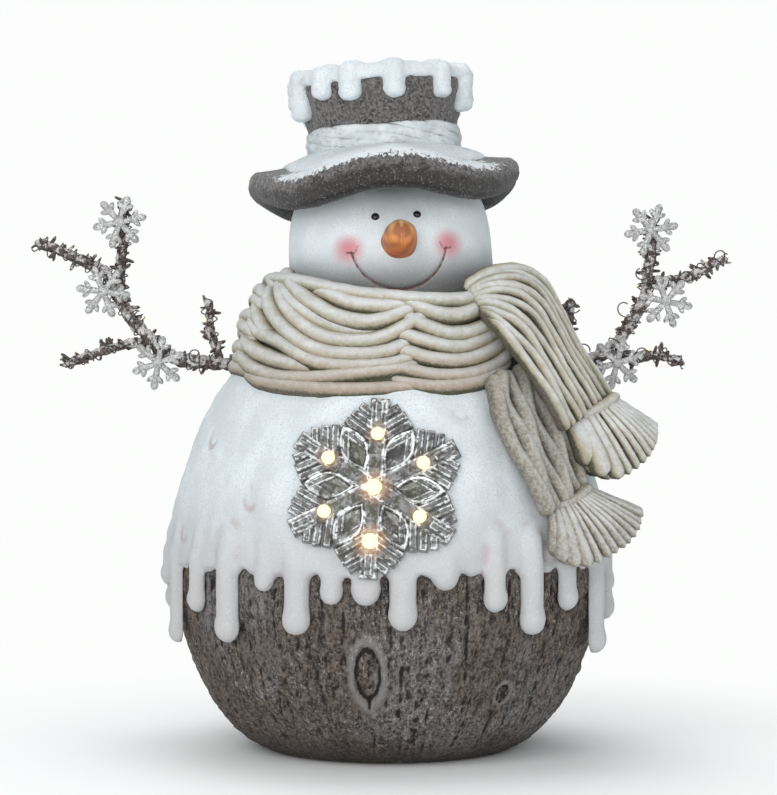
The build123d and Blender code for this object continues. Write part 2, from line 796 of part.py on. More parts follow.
def fringe(gather, end, end_width):
    """The flared end of a scarf tail."""
    with BuildPart() as made:
        with BuildSketch(gather):
            RectangleRounded(fringe_gather_width, fringe_gather_depth, fringe_gather_depth * 0.4)
        with BuildSketch(end):
            RectangleRounded(end_width, fringe_end_depth, fringe_end_depth * 0.4)
        loft()
    return made.part


with BuildPart() as scarf_fringe_upper:
    add(fringe(upper_gather, upper_end, upper_fringe_width))
    add(snow_envelope(scarf_gap), mode=Mode.SUBTRACT)
    add(scarf_tail_upper.part, mode=Mode.SUBTRACT)
    add(scarf_tail_lower.part, mode=Mode.SUBTRACT)

with BuildPart() as scarf_fringe_lower:
    add(fringe(lower_gather, lower_end, lower_fringe_width))
    add(snow_envelope(scarf_gap), mode=Mode.SUBTRACT)
    add(drip_columns.part, mode=Mode.SUBTRACT)
    add(scarf_tail_lower.part, mode=Mode.SUBTRACT)

# ---------------------------------------------------------------- lit snowflake
led_bore_depth = led_length - pocket_back + soft_gap

with BuildPart() as snowflake_lens:
    with BuildSketch(flake_back):
        with PolarLocations(0, 6, 90 + flake_lean):
            Rectangle(flake_radius, flake_bar_width, align=(Align.MIN, Align.CENTER))
        for turn in (-flake_branch_angle, flake_branch_angle):
            with PolarLocations(flake_branch_start, 6, 90 + flake_lean):
                Rectangle(flake_branch_length + flake_bar_width / 2, flake_branch_width,
                          rotation=turn, align=(Align.MIN, Align.CENTER))
        with PolarLocations(flake_petal_circle, 6, 120 + flake_lean):
            RegularPolygon(flake_petal_radius, 6)
    extrude(amount=flake_thickness)
    with BuildSketch(flake_back):
        Circle(led_radius + led_hole_fit)
        with PolarLocations(led_ring_radius, 6, 90 + flake_lean):
            Circle(led_radius + led_hole_fit)
    extrude(amount=led_bore_depth, mode=Mode.SUBTRACT)

with BuildPart() as led_board:
    with BuildSketch(pad_back):
        Circle(led_board_radius)
        with PolarLocations(board_screw_circle, 3):
            Circle(board_screw_radius + screw_fit, mode=Mode.SUBTRACT)
    extrude(amount=-board_thickness)

with BuildPart() as flake_leds:
    for height, radius in ((led_flange_height, led_flange_radius),
                           (led_length - led_radius, led_radius)):
        with BuildSketch(pad_back):
            Circle(radius)
            with PolarLocations(led_ring_radius, 6, 90 + flake_lean):
                Circle(radius)
        extrude(amount=height)
    dome_plane = pad_back.offset(led_length - led_radius)
    with Locations(dome_plane.location):
        Sphere(led_radius)
        with PolarLocations(led_ring_radius, 6, 90 + flake_lean):
            Sphere(led_radius)

timer_post_x = switch_bay_x + switch_bay_width / 2
timer_post_z = [bay_bottom_z + 3, bay_top_z - 3]
timer_front_y = timer_board_y + board_thickness
timer_post_radius = 2.0
screw_spots = [Plane((timer_post_x, timer_board_y, z), x_dir=(-1, 0, 0), z_dir=(0, -1, 0))
               for z in timer_post_z]

with BuildPart() as board_screws:
    with BuildSketch(pad_back.offset(-board_thickness)):
        with PolarLocations(board_screw_circle, 3):
            Circle(board_screw_head_radius)
    extrude(amount=-board_screw_head)
    with BuildSketch(pad_back.offset(-board_thickness)):
        with PolarLocations(board_screw_circle, 3):
            Circle(board_screw_radius)
    extrude(amount=board_thickness + board_screw_bite - screw_fit)
    for spot in screw_spots:
        with BuildSketch(spot):
            Circle(board_screw_head_radius)
        extrude(amount=board_screw_head)
        with BuildSketch(spot):
            Circle(board_screw_radius)
        extrude(amount=-board_thickness - board_screw_bite + screw_fit)

# ---------------------------------------------------------------- battery housing
slot_half_width = switch_knob_width / 2 + switch_slot_gap
slot_low_z = switch_low_z - switch_knob_height / 2 - switch_slot_gap
slot_high_z = switch_low_z + switch_travel + switch_knob_height / 2 + switch_slot_gap

with BuildPart() as battery_housing:
    add(box_between((-panel_half_width, seat_y, panel_bottom_z),
                    (panel_half_width, panel_y, panel_top_z)))
    add(box_between((housing_left_x, housing_back_y, housing_bottom_z),
                    (housing_right_x, seat_y, housing_top_z)))
    add(box_between((rebate_left_x, door_back_y, rebate_bottom_z),
                    (rebate_right_x, panel_y, rebate_top_z)), mode=Mode.SUBTRACT)
    add(box_between((bay_left_x, bay_back_y, bay_bottom_z),
                    (bay_right_x, panel_y, bay_top_z)), mode=Mode.SUBTRACT)
    add(box_between((switch_bay_x, housing_back_y, bay_bottom_z),
                    (switch_bay_x + switch_bay_width, seat_y, bay_top_z)), mode=Mode.SUBTRACT)
    add(box_between((switch_x - slot_half_width, seat_y, slot_low_z),
                    (switch_x + slot_half_width, panel_y, slot_high_z)), mode=Mode.SUBTRACT)
    for z in timer_post_z:
        with BuildSketch(Plane((timer_post_x, timer_front_y, z), x_dir=(-1, 0, 0),
                               z_dir=(0, 1, 0))):
            Circle(timer_post_radius)
            Circle(board_screw_radius + screw_fit, mode=Mode.SUBTRACT)
        extrude(amount=seat_y - timer_front_y)
    for z in housing_screw_z:
        for x in (-housing_screw_x, housing_screw_x):
            with Locations(Plane((x, panel_y, z), x_dir=(-1, 0, 0), z_dir=(0, 1, 0)).location):
                CounterBoreHole(housing_screw_radius + screw_fit,
                                housing_screw_head_radius + glue_gap, housing_screw_head,
                                panel_flange)
    with Locations(Plane((door_screw_x, door_back_y, panel_mid_z), x_dir=(-1, 0, 0),
                         z_dir=(0, 1, 0)).location):
        Hole(door_screw_radius + door_boss_hole_fit, door_boss_depth)
    with Locations((hinge_x, hinge_y, panel_mid_z)):
        Cylinder(door_pin_radius + run_fit, rebate_top_z - rebate_bottom_z
                 + 2 * (door_pin_length + run_fit), mode=Mode.SUBTRACT)

with BuildPart() as housing_screws:
    for z in housing_screw_z:
        for x in (-housing_screw_x, housing_screw_x):
            head_top = Plane((x, panel_y, z), x_dir=(-1, 0, 0), z_dir=(0, 1, 0))
            with BuildSketch(head_top):
                Circle(housing_screw_head_radius)
            extrude(amount=-housing_screw_head)
            with BuildSketch(head_top):
                Circle(housing_screw_radius)
            extrude(amount=-panel_flange - housing_screw_length + screw_fit)

with BuildPart() as timer_board:
    add(box_between(
        (switch_bay_x + timer_board_gap, timer_board_y, bay_bottom_z + timer_board_gap),
        (switch_bay_x + switch_bay_width - timer_board_gap, timer_front_y,
         bay_top_z - timer_board_gap)))
    for spot in screw_spots:
        with BuildSketch(spot):
            Circle(board_screw_radius + screw_fit)
        extrude(amount=-board_thickness, mode=Mode.SUBTRACT)
    chip_z = (panel_mid_z + switch_body_height / 2 + timer_post_z[1] - timer_post_radius) / 2
    with Locations((switch_x, timer_front_y + chip_height / 2, chip_z)):
        Box(chip_size, chip_height, chip_size * 0.8)

shoe_front_y = seat_y - switch_slot_gap
shoe_back_y = shoe_front_y - switch_shoe_thickness

with BuildPart() as slide_switch:
    add(box_between((switch_x - switch_shoe_width / 2, timer_front_y,
                     panel_mid_z - switch_body_height / 2),
                    (switch_x + switch_shoe_width / 2, shoe_back_y - switch_slot_gap,
                     panel_mid_z + switch_body_height / 2)))

with BuildPart() as switch_slider:
    add(box_between((switch_x - switch_knob_width / 2, shoe_front_y,
                     switch_low_z - switch_knob_height / 2),
                    (switch_x + switch_knob_width / 2, panel_y + switch_knob_proud,
                     switch_low_z + switch_knob_height / 2)))
    add(box_between((switch_x - switch_shoe_width / 2, shoe_back_y,
                     switch_low_z - switch_shoe_height / 2),
                    (switch_x + switch_shoe_width / 2, shoe_front_y,
                     switch_low_z + switch_shoe_height / 2)))

# Cells lie across the housing, each one turned the other way round from its neighbour
cell_rows = [(index, panel_mid_z + (index - (cell_count - 1) / 2) * cell_pitch)
             for index in range(cell_count)]
cell_left_x = bay_left_x + contact_thickness + spring_length

with BuildPart() as battery_cells:
    for index, z in cell_rows:
        turned = index % 2 == 1
        can_length = cell_length - cell_nub_length
        flat_x = bay_right_x - contact_thickness - spring_length if turned else cell_left_x
        way = -1 if turned else 1
        with BuildSketch(Plane((flat_x, cell_y, z), x_dir=(0, 1, 0), z_dir=(way, 0, 0))):
            Circle(cell_radius)
        extrude(amount=can_length)
        with BuildSketch(Plane((flat_x, cell_y, z), x_dir=(0, 1, 0), z_dir=(way, 0, 0))):
            Circle(cell_nub_radius)
        extrude(amount=cell_length)

with BuildPart() as contact_springs:
    for index, z in cell_rows:
        turned = index % 2 == 1
        plate_x = bay_right_x - contact_thickness if turned else bay_left_x + contact_thickness
        way = -1 if turned else 1
        with BuildSketch(Plane((plate_x, cell_y, z), x_dir=(0, 1, 0), z_dir=(way, 0, 0))):
            Circle(spring_radius)
        with BuildSketch(Plane((plate_x + way * spring_length, cell_y, z), x_dir=(0, 1, 0),
                               z_dir=(way, 0, 0))):
            Circle(spring_tip_radius)
        loft()

with BuildPart() as contact_plates:
    for index, z in cell_rows:
        for low_x in (bay_left_x, bay_right_x - contact_thickness):
            add(box_between((low_x, cell_y - contact_size / 2, z - contact_size / 2),
                            (low_x + contact_thickness, cell_y + contact_size / 2,
                             z + contact_size / 2)))

# ---------------------------------------------------------------- battery door
with BuildPart() as battery_door:
    add(box_between((hinge_x, door_back_y, rebate_bottom_z + door_gap),
                    (rebate_right_x - door_gap, panel_y, rebate_top_z - door_gap)))
    with Locations((hinge_x, hinge_y, panel_mid_z)):
        Cylinder(door_thickness / 2, rebate_top_z - rebate_bottom_z - 2 * door_gap)
        Cylinder(door_pin_radius, rebate_top_z - rebate_bottom_z + 2 * door_pin_length)
    with Locations(Plane((door_screw_x, panel_y, panel_mid_z), x_dir=(-1, 0, 0),
                         z_dir=(0, 1, 0)).location):
        CounterBoreHole(door_screw_radius + run_fit, door_screw_head_radius + glue_gap,
                        door_screw_head, door_thickness)

door_screw_top = Plane((door_screw_x, panel_y, panel_mid_z), x_dir=(-1, 0, 0), z_dir=(0, 1, 0))
with BuildPart() as door_screw:
    with BuildSketch(door_screw_top.offset(-run_fit)):
        Circle(door_screw_head_radius)
        Rectangle(2 * door_screw_head_radius, 0.8, mode=Mode.SUBTRACT)
    extrude(amount=-door_screw_head * 0.5)
    with BuildSketch(door_screw_top.offset(-run_fit - door_screw_head * 0.5)):
        Circle(door_screw_head_radius)
    extrude(amount=run_fit - door_screw_head * 0.5)
    with BuildSketch(door_screw_top.offset(-door_screw_head)):
        Circle(door_screw_radius)
    extrude(amount=-door_screw_length)

# ---------------------------------------------------------------- arm sockets and leads
peg_end_x = socket_mouth_x - peg_length
socket_bore_end = peg_end_x - soft_gap


def socket(side):
    """A plastic tube bonded through the shoulder, closed at its inner end."""
    with BuildPart() as made:
        with BuildSketch(arm_axis(side).offset(socket_back_x)):
            Circle(socket_radius)
        extrude(amount=socket_mouth_x - socket_back_x)
        with BuildSketch(arm_axis(side).offset(socket_mouth_x)):
            Circle(peg_radius + run_fit)
        extrude(amount=socket_bore_end - socket_mouth_x, mode=Mode.SUBTRACT)
    return made


left_socket = socket(-1)
right_socket = socket(1)

flake_normal = flake_face.z_dir
lead_end = pad_back.origin - flake_normal * board_thickness
lead_turn = lead_end - flake_normal * 24

lead_flake_route = [
    (switch_x, timer_board_y, 92), (switch_x, timer_board_y - 20, 92), (32, 46, 74), (17, 2, 66),
    (4, -42, 72),
    (-3, -74, 104), tuple(lead_turn), tuple(lead_end),
]
lead_left_route = [
    (switch_x - 2, timer_board_y, 80), (switch_x - 2, timer_board_y - 20, 80), (10, 62, 96),
    (-24, 44, 132), (-40, 20, 188),
    (2 - socket_back_x * 0.65, arm_y, arm_z), (-socket_back_x, arm_y, arm_z),
]
lead_right_route = [
    (switch_x + 2, timer_board_y, 103), (switch_x + 2, timer_board_y - 18, 103), (46, 58, 128),
    (50, 32, 168), (45, 15, 206),
    (socket_back_x * 0.68, arm_y, arm_z), (socket_back_x, arm_y, arm_z),
]
leads = {}
for lead_name, route_points in (("lead_flake", lead_flake_route),
                                ("lead_left_arm", lead_left_route),
                                ("lead_right_arm", lead_right_route)):
    with BuildPart() as lead:
        add(tube(route_points, lead_radius))
    leads[lead_name] = lead
    print(lead_name, "bend radii", [round(r, 1) for r in bend_radii(route_points)])

# ---------------------------------------------------------------- twig arms
# Points are (distance out from the socket's mouth, height over the peg's axis, offset towards
# the back from that axis). Left and right are as seen from the front.
branch_start = soft_gap + collar_length
arm_shapes = {
    "left": {
        "branch": [(branch_start, 0, 0), (21, 0, 0), (50, 11, 0), (72, 41, 0), (85, 59, 0),
                   (124, 75, 0)],
        "upper_twig": [(72, 43, 0), (70, 65, 1), (69, 102, 2)],
        "lower_twig": [(52, 13, 0), (74, 10, -2), (89, 5, -4), (106, -2, -5)],
        "short_twig": [(9, 1, 0), (14, 17, -2), (17, 40, -3)],
        "flakes": [(71, 87, 1, "upper_twig"), (81, 44, 0, "branch"), (47, 0, 0, "branch")],
        "lights": [(56, 28.5, 0), (102, 72.2, 0), (20, 27, -2), (100.5, 6, -4.5)],
    },
    "right": {
        "branch": [(branch_start, 0, 0), (23, 0, 0), (47, 13, 0), (61, 36, 0), (67, 61, 0),
                   (68, 90, 0)],
        "fork_twig": [(65, 49, 0), (75, 49, 1), (93, 55, 3), (116, 65, 4)],
        "lower_twig": [(43, 10, 0), (54, 4, 1), (74, 5, 0), (88, -1, -3)],
        "short_twig": [(9, 1, 0), (15, 17, -2), (18, 40, -3)],
        "flakes": [(67, 82, 0, "branch"), (76, 38, 0, "branch"), (46, 0, 0, "branch")],
        "lights": [(49, 27, 0), (103, 64.5, 3.5), (66, 9.2, 0), (58, 49, 0)],
    },
}
twig_radii = {"branch": branch_radius, "upper_twig": twig_radius, "fork_twig": twig_radius,
              "lower_twig": twig_radius, "short_twig": short_twig_radius}
twig_names = {"left": ["upper_twig", "lower_twig", "short_twig"],
              "right": ["fork_twig", "lower_twig", "short_twig"]}


def arm_point(side, point):
    """A point of an arm in the figure's frame."""
    return (side * (socket_mouth_x + point[0]), arm_y + point[2], arm_z + point[1])


def arm_pieces(side, shape, names):
    """One arm: its plug, branch, twigs, small snowflakes, lights and wire."""
    made = {}
    with BuildPart() as plug:
        with BuildSketch(arm_axis(side).offset(peg_end_x)):
            Circle(peg_radius)
        extrude(amount=peg_length + soft_gap)
        with BuildSketch(arm_axis(side).offset(socket_mouth_x + soft_gap)):
            Circle(collar_radius)
        extrude(amount=collar_length)
    made["arm_plug"] = plug
    for twig in ["branch"] + names:
        points = [arm_point(side, point) for point in shape[twig]]
        with BuildPart() as wood:
            add(tube(points, twig_radii[twig]))
            with Locations(points[-1]):
                Sphere(twig_radii[twig])
            if twig != "branch":
                add(made["branch"].part, mode=Mode.SUBTRACT)
        made[twig] = wood
    with BuildPart() as mini_flakes:
        for reach, rise, back, carrier in shape["flakes"]:
            front = back - twig_radii[carrier] - soft_gap
            with BuildSketch(Plane(arm_point(side, (reach, rise, front)), x_dir=(1, 0, 0),
                                   z_dir=(0, -1, 0))):
                with PolarLocations(0, 6, 90):
                    Rectangle(mini_flake_radius, mini_flake_bar, align=(Align.MIN, Align.CENTER))
                for turn in (-60, 60):
                    with PolarLocations(mini_flake_radius * 0.55, 6, 90):
                        Rectangle(mini_flake_radius * 0.34, mini_flake_bar * 0.8, rotation=turn,
                                  align=(Align.MIN, Align.CENTER))
            extrude(amount=mini_flake_thickness)
    made["mini_flakes"] = mini_flakes
    with BuildPart() as lights:
        for point in shape["lights"]:
            with Locations(arm_point(side, point)):
                Sphere(light_radius)
    made["lights"] = lights
    clear = branch_radius + wire_radius + glue_gap
    wire_points = [(branch_start + 1, 0, clear)]
    wire_points += [(reach, rise, clear) for reach, rise, back in shape["branch"][1:]]
    with BuildPart() as wire:
        add(tube([arm_point(side, point) for point in wire_points], wire_radius))
    made["wire"] = wire
    return made


pieces = {
    "stump_shell": stump_shell, "base_plate": base_plate, "base_screws": base_screws,
    "snow_mantle": snow_mantle, "scarf_wrap": scarf_wrap, "scarf_tail_upper": scarf_tail_upper,
    "scarf_tail_lower": scarf_tail_lower, "scarf_fringe_upper": scarf_fringe_upper,
    "scarf_fringe_lower": scarf_fringe_lower, "head_shell": head_shell, "eye_beads": eye_beads,
    "carrot_nose": carrot_nose, "hat_brim": hat_brim, "brim_snow": brim_snow,
    "hat_crown": hat_crown, "hat_band": hat_band, "hat_snow_cap": hat_snow_cap,
    "snowflake_lens": snowflake_lens, "led_board": led_board, "flake_leds": flake_leds,
    "board_screws": board_screws, "battery_housing": battery_housing,
    "housing_screws": housing_screws, "timer_board": timer_board, "slide_switch": slide_switch,
    "switch_slider": switch_slider, "battery_cells": battery_cells,
    "contact_springs": contact_springs, "contact_plates": contact_plates,
    "battery_door": battery_door, "door_screw": door_screw, "left_socket": left_socket,
    "right_socket": right_socket,
}
pieces.update(leads)
for side_name, side in (("left", -1), ("right", 1)):
    made = arm_pieces(side, arm_shapes[side_name], twig_names[side_name])
    pieces.update({f"{side_name}_{name}": piece for name, piece in made.items()})

for name, piece in pieces.items():
    piece.part.label = name
    export_step(piece.part, f"parts/{name}.step")
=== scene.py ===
from math import ceil, cos, pi, radians, sin, sqrt

import bpy
import numpy as np
from mathutils import Matrix, Vector, noise


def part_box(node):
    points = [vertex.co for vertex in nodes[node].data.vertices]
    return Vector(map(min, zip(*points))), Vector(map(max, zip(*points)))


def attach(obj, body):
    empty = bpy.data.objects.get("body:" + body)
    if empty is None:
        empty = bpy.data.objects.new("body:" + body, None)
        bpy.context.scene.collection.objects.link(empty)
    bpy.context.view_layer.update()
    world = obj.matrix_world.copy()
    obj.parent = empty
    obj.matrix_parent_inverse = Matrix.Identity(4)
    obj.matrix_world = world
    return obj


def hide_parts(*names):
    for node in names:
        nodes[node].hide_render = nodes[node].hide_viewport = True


# The finish of a battery-lit snowman statue. Sizes here are millimetres until loose() or
# place() turns them into metres. +Z is up, -Y is the front, azimuths run from the front.

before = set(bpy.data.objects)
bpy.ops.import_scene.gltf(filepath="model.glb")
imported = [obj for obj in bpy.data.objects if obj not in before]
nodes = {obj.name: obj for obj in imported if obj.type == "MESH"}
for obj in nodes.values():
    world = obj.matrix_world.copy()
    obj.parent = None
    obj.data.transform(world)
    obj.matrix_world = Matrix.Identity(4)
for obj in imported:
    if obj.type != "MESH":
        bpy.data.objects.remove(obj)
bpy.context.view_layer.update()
MM = 0.001


def box(node):
    """A CAD node's lowest and highest corners in millimetres."""
    low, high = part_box(node)
    return low / MM, high / MM


# ---------------------------------------------------------------- sizes shared by several pieces
# The snow body is an ellipsoid: its widest radius, its half height and its waist's level
girth, rise, waist_z = 136.0, 190.0, 95.0
ring_radius = box("stump_shell")[1].x
stump_top_z = box("stump_shell")[1].z
neck_z = box("snow_mantle")[1].z
panel_low, panel_high = box("battery_housing")
head_centre = Vector((2.0, 0.0, 288.0))
head_radius = 62.5
head_lean, face_turn = radians(3.4), radians(5.0)
# The smile is an arc in the face's plane, and the cheeks lie at its ends
smile_centre, smile_radius, smile_end = 17.5, 28.5, 13.2
cheek_spot = (29.5, 14.8)
# Heights of the hat are above the head's centre, along its lean
hat_seat, crown_radius, crown_height = 66.0, 44.0, 56.0
flake_azimuth, flake_z, flake_tilt, flake_lean = radians(-3.7), 161.0, radians(16.0), -3.0
led_circle, flake_rise = 31.0, 2.5
# The arms' pegs: their level, how far back they lie, and where the left socket opens
arm_y, arm_z = 8.0, 235.0
socket_mouth = abs(box("left_socket")[0].x)


def snow_radius(height):
    """Radius of the snow body at a height."""
    return girth * np.sqrt(np.clip(1 - ((height - waist_z) / rise) ** 2, 0, 1))


# Directions of the leaning head and hat, of the face, and of the snowflake's plane
head_up = Vector((-sin(head_lean), 0, cos(head_lean)))
head_right = Vector((cos(head_lean), 0, sin(head_lean)))
head_axes = Matrix((head_right, (0, 1, 0), head_up))
face_out = head_axes.transposed() @ Vector((sin(face_turn), -cos(face_turn), 0))
face_right = head_up.cross(face_out).normalized()
flake_out = Vector((sin(flake_azimuth) * cos(flake_tilt), -cos(flake_azimuth) * cos(flake_tilt),
                    sin(flake_tilt)))
flake_right = Vector((cos(flake_azimuth), sin(flake_azimuth), 0))
flake_up = flake_out.cross(flake_right)
flake_axes = np.array([flake_right, flake_up, flake_out])
flake_crown = float(snow_radius(flake_z))
flake_centre = Vector((flake_crown * sin(flake_azimuth), -flake_crown * cos(flake_azimuth), flake_z))


# ---------------------------------------------------------------- node trees
class Socket:
    """A node's output that can be used in Python arithmetic; each operation adds a Math node."""

    def __init__(self, graph, link):
        self.graph = graph
        self.link = link

    def math(self, operation, *values):
        return self.graph.node("ShaderNodeMath", dict(enumerate(values)), operation=operation)

    def __add__(self, other):
        return self.math("ADD", self, other)

    def __sub__(self, other):
        return self.math("SUBTRACT", self, other)

    def __rsub__(self, other):
        return self.math("SUBTRACT", other, self)

    def __mul__(self, other):
        return self.math("MULTIPLY", self, other)

    def __pow__(self, other):
        return self.math("POWER", self, other)

    def __abs__(self):
        return self.math("ABSOLUTE", self)

    __radd__ = __add__
    __rmul__ = __mul__

    def step(self, low, high):
        """0 below low and 1 above high, eased between; low may be the larger."""
        return self.graph.node("ShaderNodeMapRange", {"Value": self, "From Min": low, "From Max": high},
                               interpolation_type="SMOOTHSTEP")

    def clamp(self):
        return self.graph.node("ShaderNodeClamp", {"Value": self})


class Graph:
    """A node tree, built node by node."""

    def __init__(self, tree):
        self.tree = tree

    def node(self, kind, inputs=None, output=0, **settings):
        """Adds a node: its settings first, then its inputs by name or number."""
        made = self.tree.nodes.new(kind)
        for key, value in settings.items():
            setattr(made, key, value)
        for key, value in (inputs or {}).items():
            self.feed(made.inputs[key], value)
        return Socket(self, made.outputs[output])

    def feed(self, target, value):
        """Links or sets one input; colours are given without their alpha."""
        if isinstance(value, Socket):
            self.tree.links.new(value.link, target)
        else:
            target.default_value = (*value, 1.0) if target.type == "RGBA" else value


class Paint(Graph):
    """One material, built round its Principled shader. Distances are metres."""

    def __init__(self, name):
        self.material = bpy.data.materials.new(name)
        self.material.use_nodes = True
        super().__init__(self.material.node_tree)
        self.shader = self.tree.nodes["Principled BSDF"]
        self.place = self.node("ShaderNodeTexCoord", output="Object")

    def vector(self, operation, first, second, output="Value"):
        return self.node("ShaderNodeVectorMath", {0: first, 1: tuple(second)}, output,
                         operation=operation)

    def at(self, *scale):
        """Object coordinates stretched along X, Y and Z."""
        return self.node("ShaderNodeMapping", {"Vector": self.place, "Scale": scale})

    def noise(self, scale, detail=3.0, rough=0.55, where=None, distortion=0.0):
        return self.node("ShaderNodeTexNoise", {
            "Vector": where or self.place, "Scale": scale, "Detail": detail, "Roughness": rough,
            "Distortion": distortion})

    def cells(self, scale, feature="F1", output="Distance"):
        return self.node("ShaderNodeTexVoronoi", {"Vector": self.place, "Scale": scale}, output,
                         feature=feature)

    def sparks(self, scale):
        """A random tone for each tiny flake of glitter."""
        return self.node("ShaderNodeSeparateColor", {"Color": self.cells(scale, output="Color")})

    def sparkle(self, colour, scale, size, amount, tint):
        """Bright specks over a colour: gives the colour, and where the specks are."""
        glint = self.cells(scale).step(*size)
        return self.mix(glint * amount, colour, tint), glint

    def facing(self, blend):
        """0 where a surface faces the eye, towards 1 at its outline."""
        return self.node("ShaderNodeLayerWeight", {"Blend": blend}, "Facing")

    def along(self, direction, centre=(0, 0, 0)):
        """How far a point lies from a centre in one direction."""
        return self.vector("DOT_PRODUCT", self.vector("SUBTRACT", self.place, centre, "Vector"), direction)

    def distance(self, centre):
        return self.vector("DISTANCE", self.place, centre)

    def attribute(self, name):
        return self.node("ShaderNodeAttribute", output="Fac", attribute_name=name)

    def mix(self, amount, low, high):
        """A colour between two colours."""
        return self.node("ShaderNodeMix", {0: amount, 6: low, 7: high}, 2, data_type="RGBA")

    def bump(self, height, strength, distance, normal=None):
        inputs = {"Height": height, "Strength": strength, "Distance": distance}
        if normal:
            inputs["Normal"] = normal
        return self.node("ShaderNodeBump", inputs)

    def finish(self, **inputs):
        """Sets the shader's sockets, by name with spaces as underscores."""
        for key, value in inputs.items():
            self.feed(self.shader.inputs[key.replace("_", " ")], value)
        return self.material


# ---------------------------------------------------------------- materials
def snow_paint():
    """Matt white paint with fine sparkle, with painted shade: warmer and greyer low down and on the right
    side, grey-pink in the hollows.
    """
    paint = Paint("snow_paint")
    hollow = paint.attribute("hollow")
    mottle = paint.noise(45, 4.0)
    white = paint.mix(mottle.step(0.35, 0.7), (0.60, 0.65, 0.67), (0.685, 0.74, 0.76))
    grain = paint.noise(900, 2.0)
    white = paint.mix(grain.step(0.30, 0.55), (0.54, 0.575, 0.60), white)
    height = paint.along((0, 0, 1))
    skirt_shade_top, skirt_shade_bottom, hat_low, scarf_high, shaded_flank = 0.172, 0.104, 0.33, 0.27, 0.14
    # Painted shade: the snow greys towards its skirt
    low = height.step(skirt_shade_top, skirt_shade_bottom)
    white = paint.mix(low * 0.9, white, (0.455, 0.445, 0.445))
    # Painted shade: the body greys towards its right side
    turned = paint.along((1, 0, 0)).step(0.0, shaded_flank) * height.step(hat_low, scarf_high)
    white = paint.mix(turned * 0.35, white, (0.52, 0.53, 0.53))
    # Painted shade: grey-pink in the hollows, on the body, the cap and the brim's snow
    shaded = paint.mix(hollow.step(0.54, 0.80) * 0.85, white, (0.45, 0.385, 0.395))
    colour, glint = paint.sparkle(shaded, 750, (0.16, 0.08), 0.8, (0.96, 0.97, 0.98))
    lumps = paint.noise(260, 4.0, 0.6)
    rough = paint.bump(lumps, 0.35, 0.0012)
    return paint.finish(Base_Color=colour, Roughness=0.75 - 0.4 * glint,
                        Normal=paint.bump(grain, 0.35, 0.0005, rough))


def bark_paint():
    """Brown-grey bark with vertical grain, dark cracks, a frosting of white flecks and painted shade at its
    foot.
    """
    paint = Paint("bark_paint")
    hollow = paint.attribute("hollow")
    knot = paint.attribute("knot")
    tall = paint.at(1, 1, 0.22)
    grain = paint.noise(300, 6.0, 0.75, tall, 0.6)
    rough = paint.noise(560, 5.0, 0.85)
    board = paint.noise(30, 3.0, 0.5, paint.at(1, 1, 0.5))
    tone = grain * 0.45 + rough * 0.55
    brown = paint.mix(tone.step(0.42, 0.58), (0.022, 0.016, 0.013), (0.215, 0.168, 0.136))
    grey = paint.mix(tone.step(0.41, 0.58), (0.030, 0.027, 0.026), (0.285, 0.262, 0.255))
    wood = paint.mix(board.step(0.42, 0.66), brown, grey)
    wood = paint.mix(knot * 0.75, wood, (0.34, 0.325, 0.31))
    cracked = paint.mix(hollow.step(0.52, 0.76), wood, (0.022, 0.016, 0.014))
    flecks = paint.noise(560, 3.0, 0.8, paint.at(1, 1, 0.6))
    patch = paint.noise(26, 3.0).step(0.38, 0.66)
    frost = flecks.step(0.56, 0.62) * (0.25 + patch * 0.75) * hollow.step(0.64, 0.46)
    colour = paint.mix(frost * 0.7, cracked, (0.56, 0.54, 0.53))
    # Painted shade: the bark darkens towards its foot, where the bowl curves under
    foot_shade_top, foot_shade_bottom = 0.024, 0.004
    foot = paint.along((0, 0, 1)).step(foot_shade_top, foot_shade_bottom)
    colour = paint.mix(foot * 0.6, colour, (0.035, 0.028, 0.024))
    relief = paint.bump(tone, 1.0, 0.0034)
    return paint.finish(Base_Color=colour, Roughness=0.88 - frost * 0.25,
                        Normal=paint.bump(flecks, 0.6, 0.0010, relief))


